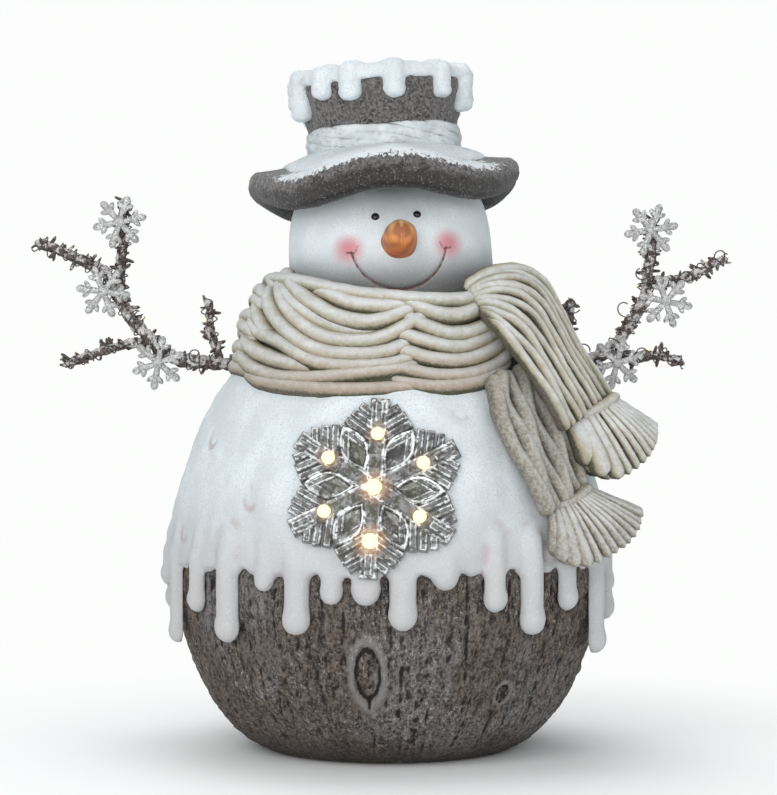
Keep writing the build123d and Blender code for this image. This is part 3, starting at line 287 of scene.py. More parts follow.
def scarf_paint(name, wear):
    """Off-white strands, tan and moss-grey in the grooves with painted shade darkening them, lighter on
    upward faces as painted light; wear greys and mottles the crests.
    """
    paint = Paint(name)
    crest = paint.attribute("crest")
    patch = paint.noise(24, 3.0)
    # The low strands are painted tan and darker, a tan stain with painted shade at the wrap's foot; this
    # ends before the tails
    stain_and_shade_top, stain_and_shade_bottom, tails_from = 0.246, 0.217, 0.055
    low = paint.along((0, 0, 1)).step(stain_and_shade_top, stain_and_shade_bottom)
    low = low * paint.along((1, 0, 0)).step(tails_from + 0.02, tails_from)
    cloth = paint.noise(100, 4.0, 0.6, paint.at(0.5, 0.5, 1.5))
    wool = paint.mix(cloth.step(0.3, 0.7), (0.52, 0.52, 0.50), (0.635, 0.65, 0.645))
    wool = paint.mix(low * 0.75, wool, (0.46, 0.40, 0.345))
    # Painted shade: the grooves and the gaps between strands go near black
    groove = paint.mix(patch.step(0.42, 0.6), (0.040, 0.044, 0.014), (0.075, 0.058, 0.042))
    wash = paint.mix(patch.step(0.42, 0.64), (0.40, 0.345, 0.25), (0.33, 0.33, 0.23))
    wash = paint.mix(low * 0.6, wash, (0.30, 0.22, 0.17))
    # The crest value, raised by lit on upward faces, sets the painted shade and painted light below; its
    # noise is the wool's own tone
    worn = crest + (paint.noise(260, 4.0, 0.65) - 0.5) * 0.40 - low * 0.14 - 0.09
    colour = paint.mix(worn.step(0.24, 0.72), groove, wash)
    colour = paint.mix(worn.step(0.66, 1.08), colour, wool)
    speck = paint.noise(520, 4.0, 0.7)
    grey = paint.mix(speck.step(0.38, 0.62), (0.20, 0.175, 0.14), (0.35, 0.335, 0.305))
    amount = (0.68 + 0.3 * patch.step(0.40, 0.62)) * wear * worn.step(1.45, 0.70)
    colour = paint.mix(amount.clamp(), colour, grey)
    grain = paint.noise(650, 3.0, 0.65)
    colour, glint = paint.sparkle(colour, 800, (0.15, 0.08), 0.6, (0.95, 0.95, 0.93))
    lumps = paint.bump(paint.noise(140, 4.0), 0.5, 0.0012)
    return paint.finish(Base_Color=colour, Roughness=0.8 - 0.35 * glint,
                        Normal=paint.bump(grain, 0.6, 0.0009, lumps))


def band_paint():
    """Bluish white twisted cloth with thin grey lines of painted shade in its folds."""
    paint = Paint("band_paint")
    crest = paint.attribute("crest")
    cloth = paint.mix(paint.noise(130, 4.0).step(0.3, 0.7), (0.52, 0.56, 0.57), (0.67, 0.715, 0.725))
    worn = crest + (paint.noise(260, 4.0, 0.65) - 0.5) * 0.5
    # Painted shade: grey in the folds between the strands
    colour = paint.mix(worn.step(0.22, 0.80), (0.20, 0.205, 0.20), cloth)
    streak = paint.noise(420, 4.0, 0.7, paint.at(0.35, 0.35, 1))
    colour = paint.mix(streak.step(0.44, 0.34) * 0.5, colour, (0.30, 0.31, 0.305))
    colour = paint.sparkle(colour, 800, (0.15, 0.08), 0.6, (0.95, 0.96, 0.97))[0]
    return paint.finish(Base_Color=colour, Roughness=0.82, Normal=paint.bump(streak, 0.6, 0.0012))


def felt_paint():
    """Dark grey felt with a pale speckle, snow dust where the snow attribute is high, and painted shade
    where it falls below zero.
    """
    paint = Paint("felt_paint")
    fuzz = paint.noise(520, 4.0, 0.75)
    soft = paint.noise(110, 4.0, 0.65)
    dark = paint.mix(fuzz.step(0.40, 0.60), (0.022, 0.020, 0.019), (0.180, 0.169, 0.163))
    dark = paint.mix(soft.step(0.38, 0.62) * 0.45, dark, (0.120, 0.111, 0.108))
    specks = paint.noise(700, 2.0, 0.6).step(0.60, 0.68)
    snow = paint.attribute("snow")
    # Below zero the snow attribute is painted shade: the felt darkens on the rim's lower half and goes near
    # black at its bottom edge, a painted shadow
    shade = snow + (paint.noise(110, 5.0, 0.7) - 0.5) * 1.5
    dark = paint.mix(shade.step(-0.1, -0.6) * 0.85, dark, (0.018, 0.016, 0.015))
    dark = paint.mix(snow.step(-0.9, -1.5), dark, (0.006, 0.005, 0.005))
    dust_and_shade = snow + (paint.noise(330, 4.0, 0.8) - 0.5) * 2.6
    colour = paint.mix(specks * 0.3, dark, (0.40, 0.38, 0.37))
    colour = paint.mix(dust_and_shade.step(0.45, 0.62), colour, (0.66, 0.70, 0.72))
    return paint.finish(Base_Color=colour, Roughness=0.95, Sheen_Weight=0.25,
                        Normal=paint.bump(fuzz, 0.8, 0.0012))


def face_paint():
    """The head: snow white, with painted shade under the chin, rosy cheeks and a brown smile line."""
    paint = Paint("face_paint")
    centre = head_centre * MM
    across = paint.along(face_right, centre)
    up = paint.along(head_up, centre)
    out = paint.along(face_out, centre)
    mottle = paint.noise(55, 4.0)
    white = paint.mix(mottle.step(0.35, 0.7), (0.675, 0.73, 0.75), (0.77, 0.82, 0.835))
    grain = paint.noise(1000, 2.0)
    white = paint.mix(grain.step(0.3, 0.55), (0.64, 0.68, 0.70), white)
    front = out.step(0.0, 0.02)
    # Painted shade: the head darkens under the chin
    chin = up.step(0.018, -0.010)
    white = paint.mix(chin * 0.88, white, (0.115, 0.108, 0.105))
    blush_edge, blush_core = 0.0122, 0.0015
    pen = (0.00075, 0.0003)
    rosy = line = 0
    for side in (-1, 1):
        aside = (across - side * cheek_spot[0] * MM) * side
        above = up - cheek_spot[1] * MM
        rosy = rosy + ((aside * aside + above * above) ** 0.5).step(blush_edge, blush_core)
        # The cheek's crease: a short dark stroke outward and a fainter one up towards the nose
        off = abs(above * 0.97 - aside * 0.20 + 2.3 * MM)
        line = line + off.step(*pen) * abs(aside + 0.6 * MM).step(0.0028, 0.0020)
        off = abs(aside * 0.91 + above * 0.41 + 4.0 * MM)
        line = line + off.step(*pen) * abs(above + 0.4 * MM).step(0.0026, 0.0016) * 0.5
    colour = paint.mix((rosy * front * 0.92).clamp(), white, (0.58, 0.20, 0.235))
    ring = (across * across + (up - smile_centre * MM) ** 2.0) ** 0.5
    arc = abs(ring - smile_radius * MM).step(pen[0] + 0.1 * MM, pen[1])
    line = arc * up.step((smile_end + 0.6) * MM, (smile_end - 0.4) * MM) + line
    worn = (line * front).clamp() * (0.55 + 0.45 * paint.noise(260, 2.0).step(0.35, 0.55))
    colour = paint.mix(worn, colour, (0.13, 0.055, 0.045))
    colour, glint = paint.sparkle(colour, 750, (0.14, 0.07), 0.6, (0.96, 0.97, 0.98))
    return paint.finish(Base_Color=colour, Roughness=0.72 - 0.35 * glint,
                        Normal=paint.bump(grain, 0.3, 0.0005))


def carrot_paint():
    """Orange carrot, tan on top and redder underneath as a painted highlight and painted shade, with a thin
    dark crease down its tip.
    """
    paint = Paint("carrot_paint")
    centre = head_centre * MM
    up = paint.along(head_up, centre)
    mottle = paint.noise(160, 4.0)
    # Painted light over the orange: a tan highlight on top and redder shade underneath
    level = up + (mottle - 0.5) * 0.008
    warm = paint.mix(level.step(0.008, 0.019), (0.66, 0.155, 0.04), (0.74, 0.30, 0.09))
    colour = paint.mix(level.step(0.018, 0.027), warm, (0.62, 0.42, 0.20))
    creased = paint.mix(paint.attribute("hollow").step(0.54, 0.72), colour, (0.30, 0.09, 0.03))
    across = paint.along(face_right, centre) + (mottle - 0.5) * 0.0012
    tip = paint.along(face_out, centre).step(0.079, 0.083)
    crease = abs(across - 0.0003).step(0.0007, 0.0002) * tip * up.step(0.030, 0.022)
    creased = paint.mix(crease * 0.75, creased, (0.24, 0.08, 0.03))
    return paint.finish(Base_Color=creased, Roughness=0.5, Normal=paint.bump(mottle, 0.4, 0.0006))


def glitter_paint():
    """Silvered glitter acrylic: painted highlights on its edges, painted shade in its recesses, lamp light
    spreading in it.
    """
    paint = Paint("glitter_paint")
    crest = paint.attribute("crest")
    spark = paint.sparks(620)
    cloud = paint.noise(75, 4.0)
    tint = paint.noise(38, 3.0)
    silver = paint.mix(spark, (0.055, 0.055, 0.055), (0.29, 0.29, 0.285))
    silver = paint.mix(cloud.step(0.35, 0.65) * 0.6, silver, (0.125, 0.120, 0.105))
    broken = paint.noise(150, 3.0, 0.6).step(0.44, 0.60)
    # The crest value paints a highlight on the bevelled edges, broken up at random, and shade in the sunken
    # parts
    worn = crest + (spark - 0.5) * 0.5 - broken * 0.42
    colour = paint.mix(worn.step(0.45, 1.05), silver, (0.80, 0.82, 0.82))
    deep = paint.mix(tint.step(0.42, 0.60), (0.050, 0.042, 0.046), (0.060, 0.060, 0.038))
    colour = paint.mix(worn.step(0.20, -0.25), colour, deep)
    glow, bright_reach, dim_reach, core = 0, 0.0125, 0.0085, 0.0030
    for spot, heat in lamp_spots():
        light = paint.distance(spot * MM).step(bright_reach if heat > 1 else dim_reach, core)
        glow = glow + light * (0.42 * heat)
    emission = paint.mix(glow.clamp(), (0.0, 0.0, 0.0), (1.0, 0.50, 0.20))
    facet = paint.bump(spark, 0.5, 0.0005)
    return paint.finish(Base_Color=colour, Metallic=0.30, Roughness=0.20 + 0.2 * cloud,
                        Coat_Weight=0.5, Coat_Roughness=0.08, Emission_Color=emission,
                        Emission_Strength=0.8, Normal=facet)


def lamp_paint(name, colour, rim, strength):
    """A small lit lamp: hot in the middle of its dome and warmer at its rim."""
    paint = Paint(name)
    glow = paint.mix(paint.facing(0.45).step(0.15, 0.85), colour, rim)
    return paint.finish(Base_Color=(0.9, 0.82, 0.66), Roughness=0.2, Emission_Color=glow,
                        Emission_Strength=strength)


def window_paint():
    """Lit lamp windows: yellow, pale or white-hot with an orange rim, by the heat attribute."""
    paint = Paint("lamp_window_paint")
    heat = paint.attribute("heat")
    core = paint.mix(heat.step(0.0, 0.5), (0.90, 0.78, 0.30), (0.97, 0.93, 0.74))
    core = paint.mix(heat.step(0.5, 1.0), core, (1.0, 0.95, 0.80))
    rim = paint.mix(heat.step(0.4, 1.0), (0.62, 0.58, 0.36), (1.0, 0.55, 0.22))
    glow = paint.mix(paint.facing(0.4).step(0.10, 0.75), core, rim)
    return paint.finish(Base_Color=(0.6, 0.55, 0.42), Roughness=0.25, Emission_Color=glow,
                        Emission_Strength=0.95)


def twig_paint(name, frosting):
    """Dark twig bark with lumps of frost on it."""
    paint = Paint(name)
    grain = paint.noise(420, 4.0, 0.7)
    dark = paint.mix(grain.step(0.35, 0.65), (0.020, 0.014, 0.013), (0.14, 0.105, 0.098))
    top = paint.attribute("lift")
    patch = paint.noise(190, 4.0, 0.65) + (top - 0.5) * 0.22
    frost = patch.step(0.56 - frosting, 0.62 - frosting)
    pale = paint.mix(grain.step(0.35, 0.6), (0.24, 0.225, 0.22), (0.58, 0.56, 0.555))
    colour = paint.mix(frost, dark, pale)
    return paint.finish(Base_Color=colour, Roughness=0.8 - 0.2 * frost,
                        Normal=paint.bump(grain + frost * 0.6, 0.7, 0.0010))


def mini_flake_paint():
    """Small grey snowflakes thick with silver glitter."""
    paint = Paint("mini_flake_paint")
    spark = paint.sparks(900)
    cloud = paint.noise(130, 3.0)
    silver = paint.mix(spark, (0.20, 0.20, 0.20), (0.68, 0.68, 0.675))
    colour = paint.mix(cloud.step(0.4, 0.65) * 0.6, silver, (0.36, 0.35, 0.345))
    return paint.finish(Base_Color=colour, Metallic=0.2, Roughness=0.35 + 0.25 * spark,
                        Normal=paint.bump(spark, 0.6, 0.0005))


def metal_paint(name, colour, roughness):
    """Plain worked metal with fine marks."""
    paint = Paint(name)
    marks = paint.noise(500, 4.0, 0.7)
    tone = paint.mix(marks.step(0.3, 0.7), tuple(c * 0.75 for c in colour), colour)
    return paint.finish(Base_Color=tone, Metallic=1.0, Roughness=roughness + 0.15 * marks,
                        Normal=paint.bump(marks, 0.15, 0.0002))


def plastic_paint(name, colour, roughness, texture=1500, depth=0.35):
    """Moulded plastic with a fine spark-eroded texture."""
    paint = Paint(name)
    grain = paint.noise(texture, 2.0)
    cloud = paint.noise(40, 2.0)
    tone = paint.mix(cloud.step(0.3, 0.7), tuple(c * 0.88 for c in colour), colour)
    return paint.finish(Base_Color=tone, Roughness=roughness + 0.12 * grain,
                        Normal=paint.bump(grain, depth, 0.0002))


def board_paint():
    """Green circuit board with faint copper tracks under the mask."""
    paint = Paint("circuit_board_paint")
    tracks = paint.cells(220, "DISTANCE_TO_EDGE").step(0.05, 0.02)
    colour = paint.mix(tracks, (0.02, 0.13, 0.055), (0.05, 0.24, 0.10))
    return paint.finish(Base_Color=colour, Roughness=0.35, Normal=paint.bump(tracks, 0.3, 0.0001))


def base_board_paint():
    """Pressed brown fibreboard under the figure."""
    paint = Paint("base_board_paint")
    fibre = paint.noise(420, 5.0, 0.7, paint.at(1, 0.35, 1))
    colour = paint.mix(fibre.step(0.3, 0.7), (0.16, 0.105, 0.07), (0.30, 0.21, 0.145))
    return paint.finish(Base_Color=colour, Roughness=0.85, Normal=paint.bump(fibre, 0.5, 0.0006))


def cell_paint():
    """Plain cell sleeves: grey cans with a copper-coloured end towards each cap."""
    paint = Paint("cell_sleeve_paint")
    low, high = box("battery_cells")
    middle = (low + high) / 2 * MM
    along_x = paint.along((1, 0, 0), middle)
    # The middle cell of the three lies the other way round
    turned = abs(paint.along((0, 0, 1), middle)).step(0.0080, 0.0070)
    facing = along_x * (1 - 2 * turned)
    cap_from, sleeve_end = 0.0130, 0.0247
    cap = facing.step(cap_from, cap_from + 0.0004)
    brushed = paint.noise(300, 3.0, 0.6, paint.at(0.1, 1, 1))
    grey = paint.mix(brushed.step(0.3, 0.7), (0.16, 0.165, 0.17), (0.21, 0.215, 0.22))
    copper = paint.mix(brushed.step(0.3, 0.7), (0.52, 0.30, 0.16), (0.62, 0.38, 0.21))
    colour = paint.mix(cap, grey, copper)
    ends = abs(along_x).step(sleeve_end, sleeve_end + 0.0003)
    colour = paint.mix(ends, colour, (0.62, 0.62, 0.60))
    return paint.finish(Base_Color=colour, Metallic=ends * 0.9 + cap * 0.4, Roughness=0.32)


# ---------------------------------------------------------------- mesh helpers
def show(item):
    """Puts an object in the scene."""
    bpy.context.scene.collection.objects.link(item)
    return item


def loose(name, points, faces=(), edges=()):
    """A new object outside the scene, from points in millimetres."""
    mesh = bpy.data.meshes.new(name)
    mesh.from_pydata((np.asarray(points, float) * MM).tolist(), list(edges), list(faces))
    mesh.update()
    return bpy.data.objects.new(name, mesh)


def store(mesh, key, values):
    """Stores a number at each point of a mesh."""
    mesh.attributes.new(key, "FLOAT", "POINT").data.foreach_set("value", np.asarray(values, float))


def dress(piece, body, material, smooth=True):
    """Gives a piece its material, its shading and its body."""
    piece.data.materials.clear()
    piece.data.materials.append(material)
    piece.data.shade_smooth() if smooth else piece.data.shade_flat()
    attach(piece, body)
    return piece


def build(name, points, faces, body, material, attributes=None, smooth=True):
    """A new piece from points in millimetres, riding on a body."""
    piece = show(loose(name, points, faces))
    for key, values in (attributes or {}).items():
        store(piece.data, key, values)
    return dress(piece, body, material, smooth)


def plain(piece):
    """Turns a piece's modifiers into plain mesh."""
    made = bpy.data.meshes.new_from_object(piece.evaluated_get(bpy.context.evaluated_depsgraph_get()))
    piece.modifiers.clear()
    old, piece.data = piece.data, made
    bpy.data.meshes.remove(old)
    return piece


def per_point(mesh, key):
    """A mesh's "co" or "normal" numbers, a row for each point."""
    flat = np.empty(len(mesh.vertices) * 3)
    mesh.vertices.foreach_get(key, flat)
    return flat.reshape(-1, 3)


def coordinates(mesh):
    """A mesh's points as an array in millimetres."""
    return per_point(mesh, "co") / MM


def normals(mesh):
    return per_point(mesh, "normal")


def place(mesh, points):
    """Moves a mesh's points to places in millimetres."""
    mesh.vertices.foreach_set("co", (np.asarray(points) * MM).ravel())
    mesh.update()


def hollows(mesh, passes, depth):
    """Stores how hollow each point is: 0.5 on the flat, towards 1 in a crease, 0 on a crest."""
    points = coordinates(mesh)
    edges = np.empty(len(mesh.edges) * 2, int)
    mesh.edges.foreach_get("vertices", edges)
    edges = edges.reshape(-1, 2)
    count = np.bincount(edges.ravel(), minlength=len(points))[:, None]
    soft = points
    for _ in range(passes):
        total = np.zeros_like(soft)
        np.add.at(total, edges[:, 0], soft[edges[:, 1]])
        np.add.at(total, edges[:, 1], soft[edges[:, 0]])
        soft = total / np.maximum(count, 1)
    inward = ((soft - points) * normals(mesh)).sum(1)
    store(mesh, "hollow", np.clip(0.5 + inward / depth * 0.5, 0, 1))


def wander(points, size, octaves, seed):
    """Smooth noise at each point, from about -1 to 1, with features of a size in millimetres."""
    shift = Vector((seed * 17.3, seed * 9.1, seed * 5.7))
    return np.array([noise.fractal(Vector(p) / size + shift, 0.7, 2.0, octaves) for p in points])


def ease(values, low, high):
    """0 below low, 1 above high, eased between; low may be the larger."""
    share = np.clip((np.asarray(values, float) - low) / (high - low), 0, 1)
    return share * share * (3 - 2 * share)


def bell(values, width):
    """1 at 0, falling away on both sides."""
    return np.exp(-(values / width) ** 2)


def full_turn(count):
    """Angles evenly round a circle."""
    return np.linspace(0, 2 * pi, count, endpoint=False)


def at_azimuth(azimuth, radius, height):
    """The point at an azimuth in radians, a radius and a height, or a row of such points."""
    parts = np.broadcast_arrays(radius * np.sin(azimuth), -radius * np.cos(azimuth), height)
    return np.stack(parts, -1)


def around(points):
    """The azimuth and the radius of each point."""
    return np.arctan2(points[:, 0], -points[:, 1]), np.hypot(points[:, 0], points[:, 1])


def radial(points, rise):
    """Directions straight out from the Z axis, with a set rise."""
    out = points / np.maximum(around(points)[1], 1)[:, None]
    out[:, 2] = rise
    return out


def turn_from(azimuth, degrees):
    """The shorter way round from an azimuth in degrees, in radians."""
    return np.angle(np.exp(1j * (azimuth - radians(degrees))))


def normalised(rows):
    """Each row made one long."""
    return rows / np.maximum(np.linalg.norm(rows, axis=1), 1e-6)[:, None]


def spline(points, per_span):
    """A smooth line through points of any dimension."""
    known = np.asarray(points, float)
    ends = np.vstack([2 * known[0] - known[1], known, 2 * known[-1] - known[-2]])
    share = np.linspace(0, 1, per_span, endpoint=False)[:, None]
    made = []
    for a, b, c, d in zip(ends, ends[1:], ends[2:], ends[3:]):
        made.append(0.5 * (2 * b + (c - a) * share + (2 * a - 5 * b + 4 * c - d) * share ** 2
                           + (3 * b - a - 3 * c + d) * share ** 3))
    return np.vstack(made + [known[-1:]])


def run_of(path):
    """How far along a path each of its points lies."""
    return np.r_[0, np.cumsum(np.linalg.norm(np.diff(path[:, :3], axis=0), axis=1))]


def even(path, step):
    """The same line with points a step apart."""
    run = run_of(path)
    spots = np.linspace(0, run[-1], max(3, int(ceil(run[-1] / step)) + 1))
    return np.stack([np.interp(spots, run, column) for column in path.T], 1)


def sample(line, shares):
    """A line's points at shares of its count."""
    known = np.linspace(0, 1, len(line))
    return np.stack([np.interp(shares, known, column) for column in line.T], 1)


def across(path, outward):
    """At each point of a path: the outward direction squared to it, and the one beside that."""
    tangent = normalised(np.gradient(path, axis=0))
    lift = np.broadcast_to(np.asarray(outward, float), path.shape)
    lift = normalised(lift - (lift * tangent).sum(1)[:, None] * tangent)
    return lift, np.cross(tangent, lift)


def ring_faces(rings, sides, closed=False):
    """Quads between rings of points, with the two ends capped unless it closes on itself."""
    faces = []
    for i in range(rings if closed else rings - 1):
        a, b = i * sides, (i + 1) % rings * sides
        faces += [(a + j, a + (j + 1) % sides, b + (j + 1) % sides, b + j) for j in range(sides)]
    if not closed:
        faces.append(tuple(reversed(range(sides))))
        faces.append(tuple((rings - 1) * sides + j for j in range(sides)))
    return faces


class Stack:
    """Collects closed shells, with a number for each point, into a single piece."""

    def __init__(self):
        self.points, self.faces, self.values = [], [], []

    def add(self, points, faces, values=0.0):
        start = sum(len(part) for part in self.points)
        self.points.append(np.asarray(points, float))
        self.faces += [tuple(start + i for i in face) for face in faces]
        self.values.append(np.broadcast_to(np.asarray(values, float), (len(points),)))

    def rope(self, path, radius, outward, flat=1.0, sides=12, round_ends=True, rough=0.0, lit=0.0):
        """A strand along a path; its value is 1 on its crests, and lit raises it where it faces upward, a
        painted light from above.
        """
        count = len(path)
        lift, side = across(path, outward)
        radius = np.broadcast_to(np.asarray(radius, float), (count,)).copy()
        if round_ends:
            run = run_of(path)
            for spots in (run, run[-1] - run):
                near = np.clip(spots / np.maximum(radius, 1e-6), 0, 1)
                radius *= np.sqrt(np.clip(1 - (1 - near) ** 2, 0.02, 1))
        turns = full_turn(sides)
        up, beside = np.cos(turns)[None, :, None], np.sin(turns)[None, :, None]
        facing = up * lift[:, None] + beside * side[:, None]
        squat = flat * up * lift[:, None] + beside * side[:, None]
        rings = (path[:, None] + radius[:, None, None] * squat).reshape(-1, 3)
        normal = facing.reshape(-1, 3)
        if rough:
            bumps = wander(rings, 6.5, 3, 21.0) * rough + wander(rings, 2.6, 2, 22.0) * rough * 0.45
            rings = rings + normal * bumps[:, None]
        crest = np.tile(np.abs(np.cos(turns)), count)
        self.add(rings, ring_faces(count, sides), crest + lit * normal[:, 2])

    def build(self, name, body, slot, material, attribute=None, smooth=True):
        attributes = {attribute: np.concatenate(self.values)} if attribute else None
        return build(name, np.vstack(self.points), self.faces, body, material, attributes, smooth)


def lathe(profile, segments, bulge=None):
    """Points and faces of a profile of (radius, height) turned about Z; bulge adds to radii."""
    radii, heights = np.asarray(profile, float).T
    rings = [at_azimuth(azimuth, radii + (bulge(azimuth) if bulge else 0), heights)
             for azimuth in full_turn(segments)]
    return np.vstack(rings), ring_faces(segments, len(profile), closed=True)


def melt(name, shells, voxel, soften):
    """Melts overlapping shells into one skin, then smooths it, as a soft casting."""
    stack = Stack()
    for points, faces in shells:
        stack.add(points, faces)
    piece = show(loose(name, np.vstack(stack.points), stack.faces))
    remesh = piece.modifiers.new("melt", "REMESH")
    remesh.mode = "VOXEL"
    remesh.voxel_size = voxel * MM
    relax = piece.modifiers.new("soften", "SMOOTH")
    relax.factor = 0.5
    relax.iterations = soften
    return plain(piece)


def ball(centre, radii, axes=None, rows=10, columns=16):
    """A closed ellipsoid as points and faces."""
    axes = np.eye(3) if axes is None else np.asarray(axes, float)
    points = [(0, 0, -1)]
    for row in range(1, rows):
        level = -pi / 2 + pi * row / rows
        points += [(cos(level) * cos(turn), cos(level) * sin(turn), sin(level))
                   for turn in full_turn(columns)]
    points.append((0, 0, 1))
    last = len(points) - 1
    faces = [(0, 1 + (j + 1) % columns, 1 + j) for j in range(columns)]
    for i in range(rows - 2):
        a, b = 1 + i * columns, 1 + (i + 1) * columns
        faces += [(a + j, a + (j + 1) % columns, b + (j + 1) % columns, b + j) for j in range(columns)]
    top = 1 + (rows - 2) * columns
    faces += [(top + j, top + (j + 1) % columns, last) for j in range(columns)]
    return np.asarray(centre) + (np.array(points) * np.asarray(radii)) @ axes, faces


def column(foot, high, radius):
    """A closed upright post from a foot (x, y, z) to a height, with round ends."""
    x, y, low = foot
    rings = []
    for level, start in ((low + radius, -pi / 2), (high, 0)):
        rings += [(level + radius * sin(turn), max(radius * cos(turn), 0.05))
                  for turn in np.linspace(start, start + pi / 2, 5)]
    turns = full_turn(16)
    points = [(x + ring * cos(turn), y + ring * sin(turn), height) for height, ring in rings
              for turn in turns]
    return np.array(points), ring_faces(len(rings), len(turns))


def cut_box(piece, low, high):
    """Cuts a square opening between two corners, in millimetres, out of a piece."""
    corners = [(x, y, z) for x in (low[0], high[0]) for y in (low[1], high[1]) for z in (low[2], high[2])]
    sides = [(0, 1, 3, 2), (4, 6, 7, 5), (0, 4, 5, 1), (2, 3, 7, 6), (0, 2, 6, 4), (1, 5, 7, 3)]
    tool = show(loose("opening", corners, sides))
    cut = piece.modifiers.new("opening", "BOOLEAN")
    cut.operation = "DIFFERENCE"
    cut.solver = "EXACT"
    cut.object = tool
    plain(piece)
    bpy.data.objects.remove(tool)


def hat_frame(points):
    """Points of the head's own leaning frame, in the figure's frame."""
    return np.asarray(head_centre) + np.asarray(points, float) @ np.array(head_axes)


def flake_frame(points):
    """Points (across, up, out) of the snowflake's plane, in the figure's frame."""
    return np.asarray(flake_centre) + np.asarray(points, float) @ flake_axes


class Grower(Graph):
    """A Geometry Nodes tree with named inputs."""

    def __init__(self, name, **inputs):
        super().__init__(bpy.data.node_groups.new(name, "GeometryNodeTree"))
        face = self.tree.interface
        face.new_socket("Geometry", in_out="INPUT", socket_type="NodeSocketGeometry")
        kinds = {int: "NodeSocketInt", float: "NodeSocketFloat"}
        self.given = {}
        for label, value in inputs.items():
            kind = kinds.get(type(value), "NodeSocketObject")
            socket = face.new_socket(label, in_out="INPUT", socket_type=kind)
            if type(value) in kinds:
                socket.default_value = value
            self.given[socket.identifier] = value
        face.new_socket("Geometry", in_out="OUTPUT", socket_type="NodeSocketGeometry")
        self.source = self.tree.nodes.new("NodeGroupInput")

    def input(self, label):
        return Socket(self, self.source.outputs[label])

    def close(self, geometry, material):
        """Ends the tree: instances become real mesh and take a material."""
        real = self.node("GeometryNodeRealizeInstances", {"Geometry": geometry})
        dressed = self.node("GeometryNodeSetMaterial", {"Geometry": real, "Material": material})
        self.feed(self.tree.nodes.new("NodeGroupOutput").inputs[0], dressed)

    def grow(self, name, lines, body, slot, material):
        """Runs the tree on open polylines and returns the plain piece that it makes."""
        edges, start = [], 0
        for line in lines:
            edges += [(start + i, start + i + 1) for i in range(len(line) - 1)]
            start += len(line)
        piece = show(loose(name, np.vstack(lines), edges=edges))
        maker = piece.modifiers.new("grow", "NODES")
        maker.node_group = self.tree
        for identifier, value in self.given.items():
            maker[identifier] = value
        return dress(plain(piece), body, material)


# ---------------------------------------------------------------- camera, floor and light
def set_stage():
    """A level camera, a pale floor that runs out to white, and soft studio light."""
    scene = bpy.context.scene
    scene.view_settings.view_transform = "Standard"
    eye_distance, eye_level, lamp_aim = 1.4, 0.2137, 0.2
    camera = show(bpy.data.objects.new("camera", bpy.data.cameras.new("camera")))
    camera.location = (0.0, -eye_distance, eye_level)
    camera.rotation_euler = (pi / 2, 0, 0)
    camera.data.lens = 103.0
    scene.camera = camera

    backdrop = (0.975, 0.985, 0.975)
    scene.world = bpy.data.worlds.new("studio")
    scene.world.use_nodes = True
    sky = Graph(scene.world.node_tree)
    seen = sky.node("ShaderNodeLightPath", output="Is Camera Ray")
    through = sky.node("ShaderNodeLightPath", output="Is Transmission Ray")
    seen = seen.math("MAXIMUM", seen, through)
    ambient = sky.node("ShaderNodeBackground", {"Color": (0.93, 0.97, 1.0), "Strength": 0.46})
    white = sky.node("ShaderNodeBackground", {"Color": backdrop})
    blend = sky.node("ShaderNodeMixShader", {0: seen, 1: ambient, 2: white})
    sky.feed(sky.tree.nodes["World Output"].inputs["Surface"], blend)

    # Each lamp: place, size and power, all aimed at the figure's middle
    lamps = {"key": ((-0.75, -1.25, 1.00), 1.1, 9.0), "fill": ((1.2, -1.0, 0.7), 1.2, 4.0),
             "low": ((-0.10, -1.50, 0.24), 0.8, 8.2), "top": ((0.0, 0.25, 1.6), 1.2, 8.5),
             "back": ((-0.6, 1.4, 0.9), 1.2, 5.0)}
    for name, (spot, size, power) in lamps.items():
        lamp = show(bpy.data.objects.new(name, bpy.data.lights.new(name, "AREA")))
        lamp.data.size = size
        lamp.data.energy = power
        lamp.location = spot
        aim = Vector((0, 0, lamp_aim)) - Vector(spot)
        lamp.rotation_euler = aim.to_track_quat("-Z", "Y").to_euler()

    reach, floor_seen, floor_gone = 6000.0, 0.15, 0.42
    corners = [(-reach, -reach, 0), (reach, -reach, 0), (reach, reach, 0), (-reach, reach, 0)]
    floor = show(loose("floor", corners, [(0, 1, 2, 3)]))
    paint = Paint("floor_paint")
    paint.finish(Base_Color=(0.96, 0.965, 0.96), Roughness=0.9)
    far = paint.distance((0, 0, 0)).step(floor_seen, floor_gone)
    glow = paint.node("ShaderNodeEmission", {"Color": backdrop})
    seen = paint.node("ShaderNodeLightPath", output="Is Camera Ray")
    lit = Socket(paint, paint.shader.outputs[0])
    blend = paint.node("ShaderNodeMixShader", {0: far * seen, 1: lit, 2: glow})
    paint.feed(paint.tree.nodes["Material Output"].inputs["Surface"], blend)
    floor.data.materials.append(paint.material)


# ---------------------------------------------------------------- snow body
# Drips: azimuth from the front (degrees), width, height of the tip
drips = [
    (-71, 13, 68), (-57, 13, 89), (-44, 16, 74), (-32, 12, 104), (-23, 16, 81),
    (-14, 13, 98), (-5.5, 16, 98), (3.5, 16, 84), (14, 15, 106), (27, 14, 93),
    (38, 16, 79), (51, 14, 91), (67, 15, 63), (81, 13, 96), (93, 15, 77),
    (106, 14, 101), (118, 16, 84), (131, 13, 95), (143, 14, 72), (-85, 14, 99),
    (-97, 15, 82), (-110, 13, 97), (-121, 16, 75), (-133, 14, 93), (-145, 13, 86),
]
